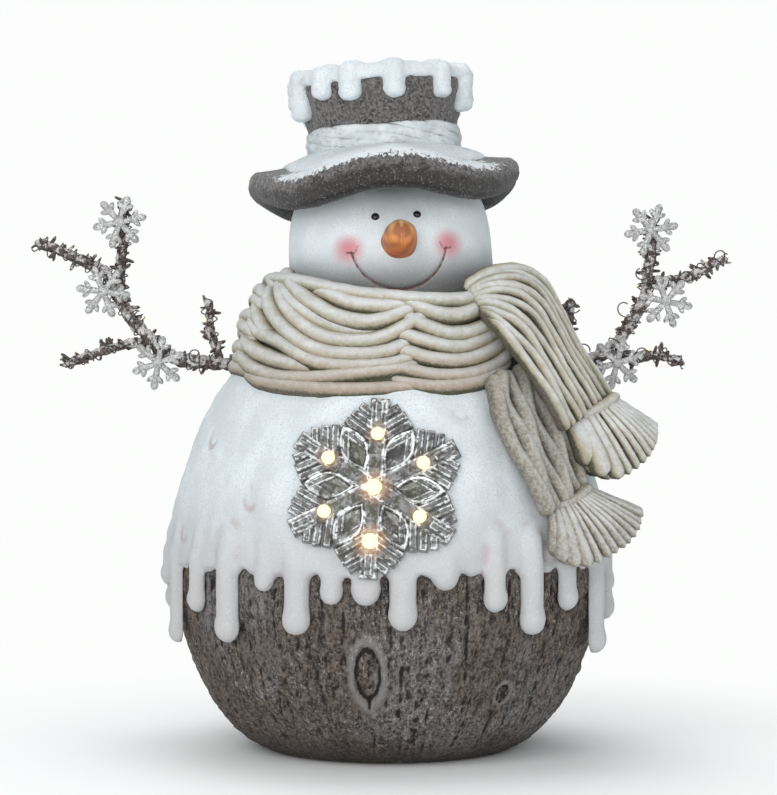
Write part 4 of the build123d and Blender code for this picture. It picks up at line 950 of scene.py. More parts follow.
# Shallow crescents pressed in the snow: azimuth, height, width, depth
dimples = [
    (-62, 190, 9, 1.6), (-38, 155, 8, 1.3), (-66, 134, 8, 1.3), (40, 182, 8, 1.2),
    (45, 127, 12, 1.8), (72, 150, 10, 1.2), (95, 188, 9, 1.4), (118, 140, 11, 1.5),
    (146, 196, 10, 1.4), (170, 158, 12, 1.6), (-170, 205, 9, 1.3), (-146, 146, 11, 1.6),
    (-118, 178, 10, 1.4), (-96, 150, 9, 1.3), (22, 205, 7, 1.0), (-20, 212, 7, 1.0),
]


def snow_mantle(material):
    """The snow body with its skirt of drips, its dimples and the dish behind the snowflake."""
    skirt_z, scarf_z = 116.0, 222.0
    dish_rim, dish_floor, dish_depth = 74, 46, -4.8
    on_ring = ring_radius - 0.5
    profile = [(0.5, neck_z)] + [(float(snow_radius(z)), z) for z in np.linspace(neck_z, skirt_z, 48)]
    profile += [(ring_radius - 1, skirt_z), (ring_radius - 1, stump_top_z), (0.5, stump_top_z)]
    shells = [lathe(profile, 180)]
    for azimuth, width, tip_z in drips:
        turn = radians(azimuth)
        shells.append(column(at_azimuth(turn, on_ring, tip_z), 122, width / 2 - 0.2))
        shells.append(ball(at_azimuth(turn, on_ring * 1.005, tip_z + width * 0.55),
                           (width * 0.55, width * 0.55, width * 0.62)))
        shells.append(ball(at_azimuth(turn, on_ring * 0.975, 126), (width * 0.62, width * 0.62, 17)))
    # The snow's foot sags between the drips, but not over the battery panel at the back
    for side in np.arange(-152, 153, 7.0):
        spot = at_azimuth(radians(side + 2.5 * sin(side)), ring_radius - 3.5, 115.5 + 3.5 * sin(side * 0.9))
        shells.append(ball(spot, (7.0, 7.0, 6.5)))
    piece = melt("snow_body", shells, voxel=2.1, soften=3)
    mesh = piece.data
    points = coordinates(mesh)
    outward = normals(mesh)
    lumps = wander(points, 38, 3, 1.0) * 1.1 + wander(points, 9, 3, 2.0) * 0.35
    points += outward * (lumps * (0.35 + 0.65 * ease(points[:, 2], 112, 122)))[:, None]
    azimuth, radius = around(points)
    for spot, height, width, depth in dimples:
        aside = turn_from(azimuth, spot) * radius
        above = points[:, 2] - height
        reach = np.hypot(aside, above)
        crescent = bell(reach - width * 0.6, width * 0.30) * (1 if abs(spot) < 90 else 0.2)
        crescent *= ease(above + aside * 0.4, width * 0.6, -width * 0.6)
        points -= outward * ((crescent + bell(reach, width * 0.8) * 0.45) * depth)[:, None]
    # The snow lies level behind the snowflake and eases back to the body round it and below it
    local = (points - np.asarray(flake_centre)) @ flake_axes.T
    reach = np.hypot(local[:, 0], local[:, 1])
    share = ease(reach, dish_rim, dish_floor) * ease(points[:, 2], 102, 124)
    in_front = (reach < dish_rim) & (local[:, 2] > -30)
    points += (np.where(in_front, share, 0) * (dish_depth - local[:, 2]))[:, None] * np.asarray(flake_out)
    # The drips' backs stay against the bark, and under the scarf the snow stays below its lining
    radius = around(points)[1]
    low = (points[:, 2] < stump_top_z - 1) & (radius < ring_radius - 0.6)
    points[:, :2] *= np.where(low, (ring_radius - 0.6) / np.maximum(radius, 1), 1)[:, None]
    radius = around(points)[1]
    tight = (snow_radius(points[:, 2]) - 0.8) / np.maximum(radius, 1)
    points[:, :2] *= np.where(points[:, 2] > scarf_z, np.minimum(tight, 1), 1)[:, None]
    over = (np.abs(points[:, 0]) < panel_high.x + 1) & (points[:, 1] > 80)
    points[over, 2] = np.maximum(points[over, 2], panel_high.z + 0.7)
    place(mesh, points)
    hollows(mesh, 14, 1.5)
    dress(piece, "figure", material)
    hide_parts("snow_mantle")


# ---------------------------------------------------------------- bark stump
# Knots: azimuth, height, half width, half height
knots = [(-5.6, 58, 6.8, 14), (35, 44, 4.0, 4.5), (-118, 62, 7, 13), (150, 34, 6, 9), (88, 58, 5, 9)]
bark_outside = [(76, 1.0), (85.5, 5.5), (92.5, 10.8), (99, 17.2), (106, 26), (112, 35.5), (117.5, 47),
                (121.5, 58), (126, 70), (129.5, 84), (131.5, 100), (131.5, 121.6)]
bark_inside = [(130.5, 122.0), (121.0, 122.0), (116.0, 74.0), (108, 48.0), (96, 26.0), (75.2, 12.0),
               (67, 4.2)]


def stump(material):
    """The bark bowl with cracked vertical grain and knots, open at the back for the batteries."""
    segments, grain_radius = 600, 130
    outside = [(67, 0.4)] + [tuple(p) for p in spline(bark_outside, 9)]
    profile = outside + bark_inside
    points, faces = lathe(profile, segments)
    outer = np.tile(np.arange(len(profile)) < len(outside), segments)
    azimuth, radius = around(points)
    height = points[:, 2].copy()
    # Grain is noise on a cylinder, stretched tall and pushed aside round the knots
    bend, knot_dip, knot_mark = np.zeros((3, len(points)))
    for spot, level, half_width, half_height in knots:
        aside = turn_from(azimuth, spot) * radius
        above = height - level
        reach = np.hypot(aside / half_width, above / half_height)
        bend += np.where(reach < 4.0, -np.sign(aside) * half_width * np.exp(-reach ** 1.4), 0)
        ring = bell(reach - 1.0, 0.12) + bell(reach - 0.55, 0.12) * 0.45
        split = bell(aside, 1.4) * ease(above, -half_height * 0.9, -half_height * 1.1)
        split *= ease(above, -half_height * 1.75, -half_height * 1.4)
        lip = bell(reach - 1.40, 0.26)
        knot_dip += ring * 2.1 + bell(reach, 0.28) * 0.84 + split * 2.4 - lip
        knot_mark = np.maximum(knot_mark, lip)
    flat = at_azimuth(azimuth + bend / grain_radius, grain_radius, height * 0.16)
    coarse = wander(flat, 7.0, 3, 3.0)
    fine = wander(flat * np.array([1, 1, 2.2]), 2.4, 2, 4.0)
    pits = wander(points, 5.5, 4, 5.5)
    cracks = np.clip(0.10 - np.abs(wander(flat, 19.0, 2, 5.0)), 0, 1) / 0.10
    swell = wander(points, 40.0, 2, 6.0)
    relief = -1.0 + coarse * 0.75 + fine * 0.45 + pits * 0.75 + swell * 0.9 - knot_dip
    relief -= cracks ** 1.5 * 1.5 * (0.35 + 0.65 * ease(pits, 0.5, -0.6))
    keep = ease(height, 0.0, 3.0) * (outer & (height <= 121.8))
    points += at_azimuth(azimuth, 1.0, 0.0) * (relief * keep)[:, None]
    # The bark swells out to a level frame round the battery panel, which is then cut through
    framed = ease(np.abs(points[:, 0]), panel_high.x + 15, panel_high.x + 4)
    framed = framed * ease(points[:, 2], panel_low.z - 15, panel_low.z - 4)
    framed = np.where(outer & (points[:, 1] > 60), framed, 0)
    points[:, 1] += (panel_high.y - 0.2 - points[:, 1]) * framed * 0.93
    piece = show(loose("stump_bark", points, faces))
    store(piece.data, "knot", knot_mark * keep)
    cut_box(piece, (-panel_high.x - 0.4, 78, panel_low.z - 0.4),
            (panel_high.x + 0.4, 150, panel_high.z + 0.4))
    hollows(piece.data, 10, 1.2)
    dress(piece, "figure", material)
    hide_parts("stump_shell")


# ---------------------------------------------------------------- head and face
def head(material):
    """The head, squarer at its sides than in front, with cheeks and an incised smile."""
    rings = np.r_[np.linspace(0.004, 0.80, 78), np.linspace(0.83, pi - 0.02, 60)]
    turns = full_turn(320)
    unit = np.vstack([np.stack([sin(ring) * np.cos(turns), sin(ring) * np.sin(turns),
                                np.full(len(turns), cos(ring))], 1) for ring in rings])
    level = np.maximum(np.hypot(unit[:, 0], unit[:, 2]), 1e-6)
    aside = (unit[:, 0] / level) ** 2
    power = 2 + aside * np.where(unit[:, 1] > 0, 1.5, 0.6) * ease(np.abs(unit[:, 1]), 0.0, 0.2)
    tall = head_radius + 3.5 * aside * ease(unit[:, 1], 0, 0.4)
    skin = ((level / head_radius) ** power + (np.abs(unit[:, 1]) / tall) ** power) ** (-1 / power)
    along, up, out = (unit * skin[:, None]).T
    lumps = wander(unit * head_radius, 30, 2, 7.0) * 0.35
    reach = np.hypot(along, up - smile_centre) - smile_radius
    groove = bell(reach, 0.75) * ease(up, smile_end + 0.8, smile_end - 0.8)
    puff = bell(reach + 3.2, 2.4) * ease(up, smile_end + 3, smile_end - 6)
    cheeks = sum(bell(np.hypot(along - side * cheek_spot[0], up - cheek_spot[1]), 7.5)
                 for side in (-1, 1))
    radius = skin + lumps + ease(out, 0, 12) * (puff * 0.5 + cheeks * 1.3 - groove * 1.1)
    axes = np.array([face_right, head_up, face_out])
    points = np.asarray(head_centre) + (unit * radius[:, None]) @ axes
    points[:, 2] = np.maximum(points[:, 2], neck_z + 0.2)
    piece = build("head_ball", points, ring_faces(len(rings), len(turns)), "figure",
                  material)
    hollows(piece.data, 8, 0.8)
    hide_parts("head_shell")


def nose(material):
    """A stubby carrot with soft creases across it and a shallow crease down its tip."""
    height, length = 17.0, 25.6
    level = sqrt(head_radius ** 2 - height ** 2)
    base = head_axes.transposed() @ Vector((level * sin(face_turn), -level * cos(face_turn), height))
    out = base.normalized()
    start = head_centre + base - out * 2.0
    side = out.cross(head_up).normalized()
    lift = side.cross(out)
    rings, sides = 44, 60
    points = []
    for share in np.linspace(0, 1, rings) ** 0.8:
        body = 10.3 - 2.6 * share ** 1.5
        tip = sqrt(max(0.001, 1 - max(0, (share - 0.66) / 0.34) ** 2.4))
        crease = sum(0.5 * bell(share - spot, 0.022) for spot in (0.25, 0.52))
        for turn in full_turn(sides):
            uneven = 1 + 0.03 * sin(2 * turn + 1) + 0.015 * sin(5 * turn + share * 9)
            cut = crease * (0.5 + 0.5 * sin(turn * 2 + share * 14))
            reach = (body * uneven - cut) * tip
            split = 0.35 * bell(reach * cos(turn), 1.1) * ease(share, 0.7, 0.95)
            points.append(start + out * (share * length - split) + side * (reach * cos(turn))
                          + lift * (reach * sin(turn) - share * share * 0.8))
    piece = build("carrot", [tuple(p) for p in points], ring_faces(rings, sides), "figure",
                  material)
    hollows(piece.data, 6, 0.7)
    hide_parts("carrot_nose")


# ---------------------------------------------------------------- hat
def brim_low(azimuth):
    """Height of the rim's underside in the hat's frame: up at front and sides, down between."""
    return 44.5 + 4.5 * np.cos(4 * azimuth) - 1.5 * np.cos(2 * azimuth)


def rim_height(azimuth):
    """Thickness of the rolled rim, more in front and behind than at the sides."""
    return 18.0 + 6.0 * np.cos(azimuth) ** 2


def brim(felt, snow):
    """A thick rolled brim that waves, with snow lying on it."""
    segments, roll = 280, 7.0
    bore, root, root_z, snow_bore = 34.0, 46.0, 73.0, 43.0
    rolled, drift = [], []
    for azimuth in full_turn(segments):
        low, thick = brim_low(azimuth), rim_height(azimuth)
        rim = 83.0 + 1.2 * sin(3 * azimuth + 0.6) + 0.8 * sin(7 * azimuth) - roll
        middle = low + thick / 2
        top = middle + thick * 0.46
        section = [(bore, root_z), (root, root_z)]
        section += [(root + (rim - root) * t, root_z + (top - root_z) * t ** 0.9)
                    for t in (0.2, 0.4, 0.6, 0.8)]
        section += [(rim + roll * cos(turn), middle + thick / 2 * sin(turn))
                    for turn in np.radians(np.linspace(80, -95, 15))]
        section += [(rim - 5, low + 1.5), (rim - 10, low + 5.0), (62, max(low + 8, 53.0)), (52, 53.5),
                    (44, 54.0), (bore, 54.5)]
        rolled.append(at_azimuth(azimuth, *np.array(section).T))
        edge = rim - 4.0 - 9.0 * sin(azimuth) ** 2 + 1.2 * sin(5 * azimuth) + 0.9 * sin(11 * azimuth + 1)
        share = np.linspace(0, 1, 16)
        radius = snow_bore + (edge - snow_bore) * share
        under = root_z + (top - root_z) * np.clip((radius - root) / (rim - root), 0, 1) ** 0.9
        deep = 3.0 * np.sqrt(np.maximum(0.0, 1 - share ** 5)) + 1.6 * (1 - share) ** 2
        drift.append(at_azimuth(azimuth, np.r_[radius, edge - 1, snow_bore],
                                np.r_[under + deep, top - 2.0, 70.0]))
    rolled, drift = np.vstack(rolled), np.vstack(drift)
    azimuth, radius = around(rolled)
    on_rim = ease(radius, 58, 70)
    fuzz = wander(rolled, 4.0, 3, 8.0) * 0.6 + wander(rolled, 20.0, 2, 8.5) * 1.3
    above = (rolled[:, 2] - brim_low(azimuth)) / rim_height(azimuth)
    # The snow value: dust on the rim's top, and below zero a painted shade on the rim's lower half and a
    # painted shadow at its bottom edge
    dust_and_shade = ease(above, 0.56, 1.04) * (1.0 - 0.9 * ease(np.abs(np.sin(azimuth)), 0.70, 0.96))
    dust_and_shade -= (0.8 * ease(above, 0.85, 0.20) + 1.2 * ease(above, 0.22, 0.04)) * on_rim
    faces = ring_faces(segments, len(rolled) // segments, closed=True)
    piece = build("hat_brim_felt", hat_frame(rolled + radial(rolled, 0.4) * (fuzz * on_rim)[:, None]), faces,
                  "figure", felt, {"snow": dust_and_shade})
    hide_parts("hat_brim")
    drift[:, 2] += wander(drift, 12.0, 3, 9.0) * 0.8 * ease(around(drift)[1], 46, 52)
    faces = ring_faces(segments, len(drift) // segments, closed=True)
    piece = build("brim_snow_drift", hat_frame(drift), faces, "figure", snow)
    hollows(piece.data, 8, 1.0)
    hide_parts("brim_snow")


def crown(felt):
    """The felt crown, flaring to its top, slightly uneven."""
    profile = [(0.5, hat_seat + 0.5)]
    for share in np.linspace(0, 1, 40):
        flare = 1.5 * sin(share * pi / 2) + 6.2 * ease(share, 0.30, 0.95)
        profile.append((crown_radius + flare, hat_seat + 0.5 + share * (crown_height - 0.5)))
    profile.append((0.5, hat_seat + crown_height))
    points, faces = lathe(profile, 240)
    fuzz = wander(points, 4.5, 3, 10.0) * 0.5 + wander(points, 24, 2, 11.0) * 1.0
    points += radial(points, 0) * (fuzz * (around(points)[1] > 20))[:, None]
    dust_and_shade = ease(wander(points, 30, 2, 12.0), 0.2, 0.9) * 0.25
    piece = build("hat_crown_felt", hat_frame(points), faces, "figure", felt,
                  {"snow": dust_and_shade})
    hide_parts("hat_crown")


def band(material):
    """A flat band of cloth strands twisted round the crown's foot."""
    stack = Stack()
    strands, middle_z = 5, hat_seat + 17.0
    turns = np.linspace(-pi, pi, 241)
    for strand in range(strands):
        twist = 2 * turns + strand * 2 * pi / strands + 0.9
        radius = crown_radius + 0.5 + 0.9 * np.sin(twist) + 0.25 * np.sin(9 * turns + strand)
        level = middle_z + 4.6 * np.cos(twist) + 0.4 * np.sin(5 * turns + strand)
        thick = 3.4 + 0.35 * np.sin(7 * turns + strand)
        thick[-1] = thick[0]
        stack.rope(at_azimuth(turns, radius, level), thick, at_azimuth(turns, 1.0, 0.0), flat=0.75,
                   sides=14, round_ends=False)
    stack.points = [hat_frame(part + wander(part, 3.5, 3, 13.0)[:, None] * 0.5) for part in stack.points]
    piece = stack.build("hat_band_strands", "figure", "band_casting", material, "crest")
    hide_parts("hat_band")


# Drips of the hat's snow cap: azimuth, width, length below the crown's top
cap_drips = [
    (-70, 15, 26), (-43, 14, 15), (-21, 14, 18), (9, 14, 18), (45, 12, 18),
    (73, 14, 25), (98, 13, 19), (123, 12, 24), (150, 14, 17), (178, 13, 23),
    (-150, 13, 19), (-122, 14, 24), (-95, 12, 17),
]


def snow_cap(material):
    """Snow piled on the crown in a low dome, running down in blunt drips."""
    top = hat_seat + crown_height
    edge, drip_radius = 54.6, 51.3
    profile = [(0.5, top + 6.0)]
    for turn in np.linspace(0.12, 1, 12) * pi / 2:
        profile.append((edge * sin(turn) ** 0.6, top - 2.5 + 8.5 * cos(turn) ** 0.8))
    profile += [(edge, top - 4.5), (53.0, top - 6.0), (40, top - 5), (0.5, top - 5)]
    shells = [lathe(profile, 96, lambda azimuth: 0.8 * sin(6 * azimuth + 0.4) + 0.6 * sin(11 * azimuth))]
    for azimuth, width, length in cap_drips:
        turn = radians(azimuth)
        low, half = top - length, width / 2
        axes = [(cos(turn), sin(turn), 0), (sin(turn), -cos(turn), 0), (0, 0, 1)]
        parts = [(drip_radius, level, (half, 6.8, half * 0.85))
                 for level in np.linspace(low + half * 0.75, top - 1, 4)]
        parts.append((drip_radius, low + half * 0.6, (half * 0.94, 7.0, half * 0.7)))
        parts.append((44.0, top + 0.5, (half * 1.35, 11.0, 5.6)))
        shells += [ball(at_azimuth(turn, radius, level), radii, axes) for radius, level, radii in parts]
    piece = melt("hat_snow", shells, voxel=1.2, soften=3)
    points = coordinates(piece.data)
    lumps = wander(points, 16, 3, 14.0) * 0.9 + wander(points, 5, 2, 15.0) * 0.35
    points += normals(piece.data) * lumps[:, None]
    place(piece.data, hat_frame(points))
    hollows(piece.data, 12, 1.3)
    dress(piece, "figure", material)
    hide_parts("hat_snow_cap")


# ---------------------------------------------------------------- scarf
def wrap_radius(height):
    """Radius of the scarf's wrap at a height, to the middle of its strands."""
    return np.interp(height, [216, 222, 230, 238, 246, 254, 262, 270, 277, 283, 288, 293],
                     [103, 99.5, 95.5, 92.5, 91, 90, 88, 84.5, 80, 75.5, 71, 66])


def upper_tail_radius(height):
    """Radius of the surface that the upper tail lies on, at a height."""
    return np.interp(height, [190, 200, 212, 240, 262, 284, 292, 298],
                     [139, 139, 136, 119, 109, 96, 88, 76])


def paced(path, outward):
    """A path and its outward directions, both at points a short step apart."""
    joined = even(np.hstack([path, outward]), 2.6)
    return joined[:, :3], joined[:, 3:]


def on_wrap(route):
    """A route of (azimuth, height, sink) laid on the wrap as a path and its outward directions."""
    azimuth, height, sink = spline(route, 10).T
    azimuth = np.radians(azimuth)
    slope = (wrap_radius(height + 2) - wrap_radius(height - 2)) / 4
    return paced(at_azimuth(azimuth, wrap_radius(height) - sink, height), at_azimuth(azimuth, 1.0, -slope))


def on_turned(line, radius_at):
    """Front view points (x, z, sink) laid on a turned surface: a path and its outward directions."""
    x, z, sink = line.T
    radius = radius_at(z) - sink
    y = -np.sqrt(np.maximum(radius ** 2 - x ** 2, 36.0 ** 2))
    return paced(np.stack([x, y, z], 1), normalised(np.stack([x, y, radius * 0.25], 1)))


def wrap_edges(azimuth):
    """Heights of the wrap's foot and top at an azimuth in degrees."""
    aside = sin(radians(azimuth)) ** 2
    away = abs((azimuth + 180) % 360 - 180)
    return 219 + 13 * aside, 266 + 18 * ease(away, 30, 75)


# Each strand in front: (azimuth, height, how deep its middle lies under the wrap's skin)
left_strands = [
    [(-78, 286, 3), (-64, 284, 1), (-42, 281, 0), (-20, 275, 0), (-3, 271, .5), (8, 268, 3)],
    [(-36, 278, 4), (-27, 274, 1), (-14, 267.5, 0), (-1.5, 265.5, 0), (7, 267, 2), (12, 269, 4)],
    [(-64, 288, 3), (-53, 284, 1), (-31, 268, 0), (-17.5, 259, 0), (-5.5, 257, 0), (6.5, 263, 1),
     (14, 268, 4)],
    [(-60, 283, 3), (-50, 276, 1.5), (-38, 266.5, 1), (-24, 256.5, 1.5), (-12, 251.5, 2.5),
     (-2, 252, 4)],
    [(-62, 284, 3), (-54, 277, 1), (-38, 260.5, 0), (-24.5, 249, 0), (-12, 246, 0), (-1.5, 248.5, 0),
     (11.5, 259.5, 1), (17, 264, 4)],
    [(-66, 280, 3), (-55, 268.5, 0), (-40, 252.5, 0), (-26, 241, 0), (-13, 237.7, 0),
     (-1.5, 239.3, 0), (5, 244, 2), (9, 249, 4)],
    [(-74, 272, 3), (-62, 262, 1), (-50, 250, 1), (-42, 243, 3)],
    [(-72, 262, 3), (-58, 253, 0), (-43, 246, 0), (-28, 234.5, 0), (-15, 231, 0), (-1.5, 232, 0),
     (8, 236, 2), (13, 241, 4)],
    [(-76, 250, 3), (-62, 243.5, 0), (-48, 236.5, 0), (-34, 231, 2), (-27, 228, 4)],
    [(-80, 243, 3), (-66, 236, 0), (-46, 226, 0), (-31, 223.5, 0), (-16, 225, 0), (4, 229.5, 1),
     (11, 233, 4)],
    [(-62, 228, 3), (-46, 221.5, 0), (-27, 218, 0), (-13, 217, 0), (6, 218.5, 1), (14, 221, 4)],
]
right_strands = [
    [(-14, 274, 3), (-1.5, 271.5, .5), (13.5, 269.5, 0), (31, 270, 0), (44, 275, 1), (54, 281, 3)],
    [(0, 273, 4), (7, 268, 1), (18, 261.5, 0), (29, 261.5, 0), (42, 269, 0), (50, 276, 3)],
    [(0, 260, 4), (6, 260, 2), (13, 255, .5), (21.5, 250.5, 0), (31.5, 251.5, 0), (42, 258, 0),
     (50, 266, 3)],
    [(-1, 251, 4), (4.5, 250.5, 1), (14, 245.5, 0), (25.5, 242.5, 0), (38, 248.5, 0), (47, 256, 1),
     (54, 263, 4)],
    [(2, 241, 4), (7.5, 239, 1), (16, 234.8, 0), (28, 234.5, 0), (41, 242, 0), (50, 250, 2),
     (56, 257, 4)],
    [(0, 233, 4), (6, 229, 1), (17, 225, 0), (29, 226, 0), (40, 231.5, 0), (49, 240, 1), (56, 248, 4)],
    [(0, 223, 4), (6, 220.5, 1), (16.5, 218.5, 0), (28, 220.5, 0), (38, 226, 0), (50, 236, 3)],
]


def scarf_wrap(material):
    """Thick strands in swags round the neck, in two groups that cross in front."""
    stack = Stack()
    rows, segments, strands_behind = 20, 120, 9
    front_thick, behind_thick, uneven = 5.5, 5.3, 0.3
    lining = []
    for azimuth in np.linspace(0, 360, segments, endpoint=False):
        foot, top = wrap_edges(azimuth)
        heights = np.linspace(foot - 2, top, rows)
        skin = np.maximum(wrap_radius(heights) - 2.4, snow_radius(heights) + 0.8)
        lining.append(at_azimuth(radians(azimuth), np.r_[skin, 62, 70, 88],
                                 np.r_[heights, top - 1, top - 14, foot - 1]))
    # The lining's low crest value paints the gaps between strands near black, a painted shade
    stack.add(np.vstack(lining), ring_faces(segments, rows + 3, closed=True), 0.2)
    rng = np.random.default_rng(11)
    for route in left_strands + right_strands:
        path, outward = on_wrap(route)
        taper = 0.74 + 0.26 * np.sin(np.linspace(0, 1, len(path)) * pi) ** 0.5
        stack.rope(path, (front_thick + rng.uniform(-uneven, uneven)) * taper, outward, flat=1.1,
                   sides=20, rough=0.26, lit=0.3)
    for index in range(strands_behind):
        share = index / (strands_behind - 1)
        route = []
        for azimuth in np.arange(-58, -309, -18.0):
            foot, top = wrap_edges(azimuth)
            swing = 2.2 * sin(radians(azimuth) * 3 + index * 1.9)
            lie = 1.9 + 0.9 * sin(radians(azimuth) * 4 + index * 2.4)
            route.append((azimuth, foot + (top - foot) * share + swing * sin(pi * share), lie))
        path, outward = on_wrap(route)
        stack.rope(path, behind_thick + rng.uniform(-uneven, uneven), outward, flat=1.1, sides=18,
                   rough=0.26, lit=0.3)
    piece = stack.build("scarf_wrap_strands", "figure", "scarf_casting", material, "crest")
    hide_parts("scarf_wrap")


def tail(name, node, left_edge, right_edge, shares, thick, radius_at, material, plait):
    """A bundle of strands between two edges, lying on a turned surface, plaited a little."""
    stack = Stack()
    left, right = spline(left_edge, 10), spline(right_edge, 10)
    run = np.linspace(0, 1, min(len(left), len(right)))
    left, right = sample(left, run), sample(right, run)
    # A lining closes the gaps between the strands; its low crest value paints them dark, a painted shade
    rows, sheets = 40, []
    for sink in (thick * 0.35, thick * 0.75):
        for share in np.linspace(0.0, 1.0, 11):
            line = left + (right - left) * share
            line[:, 2] += sink
            sheets.append(sample(on_turned(line, radius_at)[0], np.linspace(0.02, 0.98, rows)))
    stack.add(np.stack(sheets, 1).reshape(-1, 3), ring_faces(rows, len(sheets)), 0.36)
    rng = np.random.default_rng(5)
    for index, share in enumerate(shares):
        swing = run * 2 * pi * 1.6 + index * 2.4
        line = left + (right - left) * np.clip(share + plait * np.sin(swing), 0, 1)[:, None]
        line[:, 2] += 0.9 * np.cos(swing) * (plait > 0.04) - 0.4
        path, outward = on_turned(line, radius_at)
        size = thick * (1 + rng.uniform(-0.08, 0.08))
        swell = 1 + 0.10 * np.sin(np.linspace(0, 9, len(path)) + index * 2)
        stack.rope(path, size * swell, outward, flat=1.05, sides=16, rough=0.30, lit=0.2)
    piece = stack.build(name, "figure", "scarf_casting", material, "crest")
    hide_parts(node)


def fringe(name, node, gather, ends, widths, material):
    """Ribs of given widths that fan out from a gathered line to a flared end, in three layers."""
    stack = Stack()
    depth, lobes = 14.0, 1.5
    out, back = np.array([0.40, -0.88, 0.15]), np.array([0, 1, 0])
    start, finish = spline(gather, 12), spline(ends, 12)
    edges = np.r_[0, np.cumsum(widths)] / sum(widths)
    parts, middles = np.array(widths) / sum(widths), (edges[:-1] + edges[1:]) / 2
    span = run_of(finish)[-1]
    for layer, (push, part_swell) in enumerate(((0.0, 1.0), (depth * 0.5, 0.2), (depth, -0.4))):
        for width, part, share in zip(widths, parts, middles):
            if layer == 1:
                share = min(share + 0.5 * part, 0.99)
            a = start[int(share * (len(start) - 1))]
            b = finish[int(share * (len(finish) - 1))]
            swell = (4.5 * sin(share * pi) + 2.2 * sin(share * lobes * 2 * pi + 0.8)) * part_swell
            middle = (a + b) / 2 + out * swell + back * push
            tip = b + out * (swell * 0.8) + back * push * 1.1
            path = even(spline([a + back * push * 0.7, middle, tip], 8), 2.0)
            foot = 0.62 * part * np.linalg.norm(start[-1] - start[0])
            thick = foot + (0.60 * part * span - foot) * np.linspace(0, 1, len(path)) ** 0.8
            stack.rope(path, thick, out * (1 if layer < 2 else -1), flat=1.0 if width < 6 else 0.65,
                       sides=14, rough=0.30, lit=0.6)
    stack.rope(even(start + out * 0.6 + back * depth * 0.35, 2.0), 3.9, out, flat=1.5, sides=16,
               rough=0.5, lit=0.15)
    piece = stack.build(name, "figure", "scarf_casting", material, "crest")
    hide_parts(node)


def scarf(material, worn):
    """The whole scarf: wrap, two tails and their fringes."""
    scarf_wrap(material)
    tail("scarf_upper_strands", "scarf_tail_upper",
         [(56, 262, 15), (64, 253, 5), (72, 243, 1), (80, 232, 1), (89, 219, 1), (97, 204, 1),
          (102, 195, 2)],
         [(44, 278, 17), (58, 287, 8), (76, 290, 2), (91, 283, 0), (101, 267, 0), (111, 247, 0),
          (124, 227, 0), (132, 213, 2)],
         (0.0, 0.13, 0.26, 0.39, 0.52, 0.64, 0.75, 0.85, 0.93, 1.0), 3.7, upper_tail_radius, material,
         0.02)
    tail("scarf_lower_strands", "scarf_tail_lower",
         [(58, 226, 2), (61, 210, 1), (69, 190, 0), (80, 168, 0), (92, 147, 1)],
         [(86, 236, 2), (92, 214, 0), (101, 194, 0), (108, 176, 0), (113, 160, 1)],
         (0.02, 0.21, 0.4, 0.6, 0.79, 0.98), 4.7, lambda z: snow_radius(z) + 9.5, worn, 0.055)
    fringe("scarf_upper_fringe", "scarf_fringe_upper",
           [(103, -82, 200), (114, -76, 203), (127, -62, 209), (134, -50, 214)],
           [(113, -76, 178), (121, -80, 169), (134, -74, 166), (148, -60, 174), (157, -48, 185),
            (162, -38, 196)], (9.5, 8, 6) + (3.4,) * 8, material)
    fringe("scarf_lower_fringe", "scarf_fringe_lower",
           [(92, -100, 150), (100, -98, 152), (109, -92, 156), (116, -84, 162)],
           [(93, -104, 126), (100, -106, 119), (113, -104, 117), (129, -96, 124), (142, -84, 134),
            (150, -72, 147)], (6.5, 6.5, 6.5, 5.5) + (3.2,) * 9, worn)


# ---------------------------------------------------------------- lit snowflake
def lamp_spots():
    """Where each lamp shines through the snowflake, and how strongly it shows."""
    spots = [(flake_centre + flake_up * flake_rise + flake_out * 0.5, 1.15)]
    for arm, heat in enumerate((0.45, 0.25, 0.35, 1.25, 0.25, 0.5)):
        turn = radians(90 + flake_lean - 60 * arm)
        spots.append((flake_centre + flake_right * (led_circle * cos(turn))
                      + flake_up * (led_circle * sin(turn) + flake_rise) + flake_out * 0.3, heat))
    return spots


def bar(start, end, width, low, high, chamfer):
    """A straight bar with bright chamfered edges, a painted highlight, and a sunken middle, and its crest
    values.
    """
    a, b = np.array(start, float), np.array(end, float)
    way = (b - a) / np.linalg.norm(b - a)
    side = np.array([-way[1], way[0]])
    half = width / 2
    levels = ((0, low, 0.3), (0, high - chamfer * 0.8, 0.5), (chamfer * 0.8, high, 1.0),
              (min(chamfer * 1.7, half * 0.8), high - 0.5, 0.25))
    points, values = [], []
    for inset, level, value in levels:
        for corner, lateral, sign in ((a, 1, 1), (b, 1, -1), (b, -1, -1), (a, -1, 1)):
            points.append((*(corner + way * inset * sign + side * lateral * (half - inset)), level))
            values.append(value)
    return points, ring_faces(len(levels), 4), values


def petal(centre, turn, length, width, low, high):
    """An eye-shaped cell: a bright raised edge round a dark sunken floor, a painted highlight and painted
    shade, and its crest values.
    """
    half, bow = length / 2, width / 2
    steps = np.linspace(-1, 1, 13)[:-1]
    outline = np.array([(half * t, bow * (1 - t * t)) for t in steps]
                       + [(-half * t, -bow * (1 - t * t)) for t in steps])
    levels = ((1.18, low, 0.2), (1.18, high - 1.4, 0.4), (1.04, high, 1.0), (0.92, high - 0.2, 1.0),
              (0.76, high - 2.8, 0.0), (0.3, high - 3.2, -0.1))
    points, values = [], []
    for scale, level, value in levels:
        x, y = (outline * np.array([1 - (1 - scale) * 0.75, scale])).T
        points.append(np.stack([x * cos(turn) - y * sin(turn) + centre[0],
                                x * sin(turn) + y * cos(turn) + centre[1], np.full(len(x), level)], 1))
        values += [value] * len(x)
    return np.vstack(points), ring_faces(len(levels), len(outline)), values


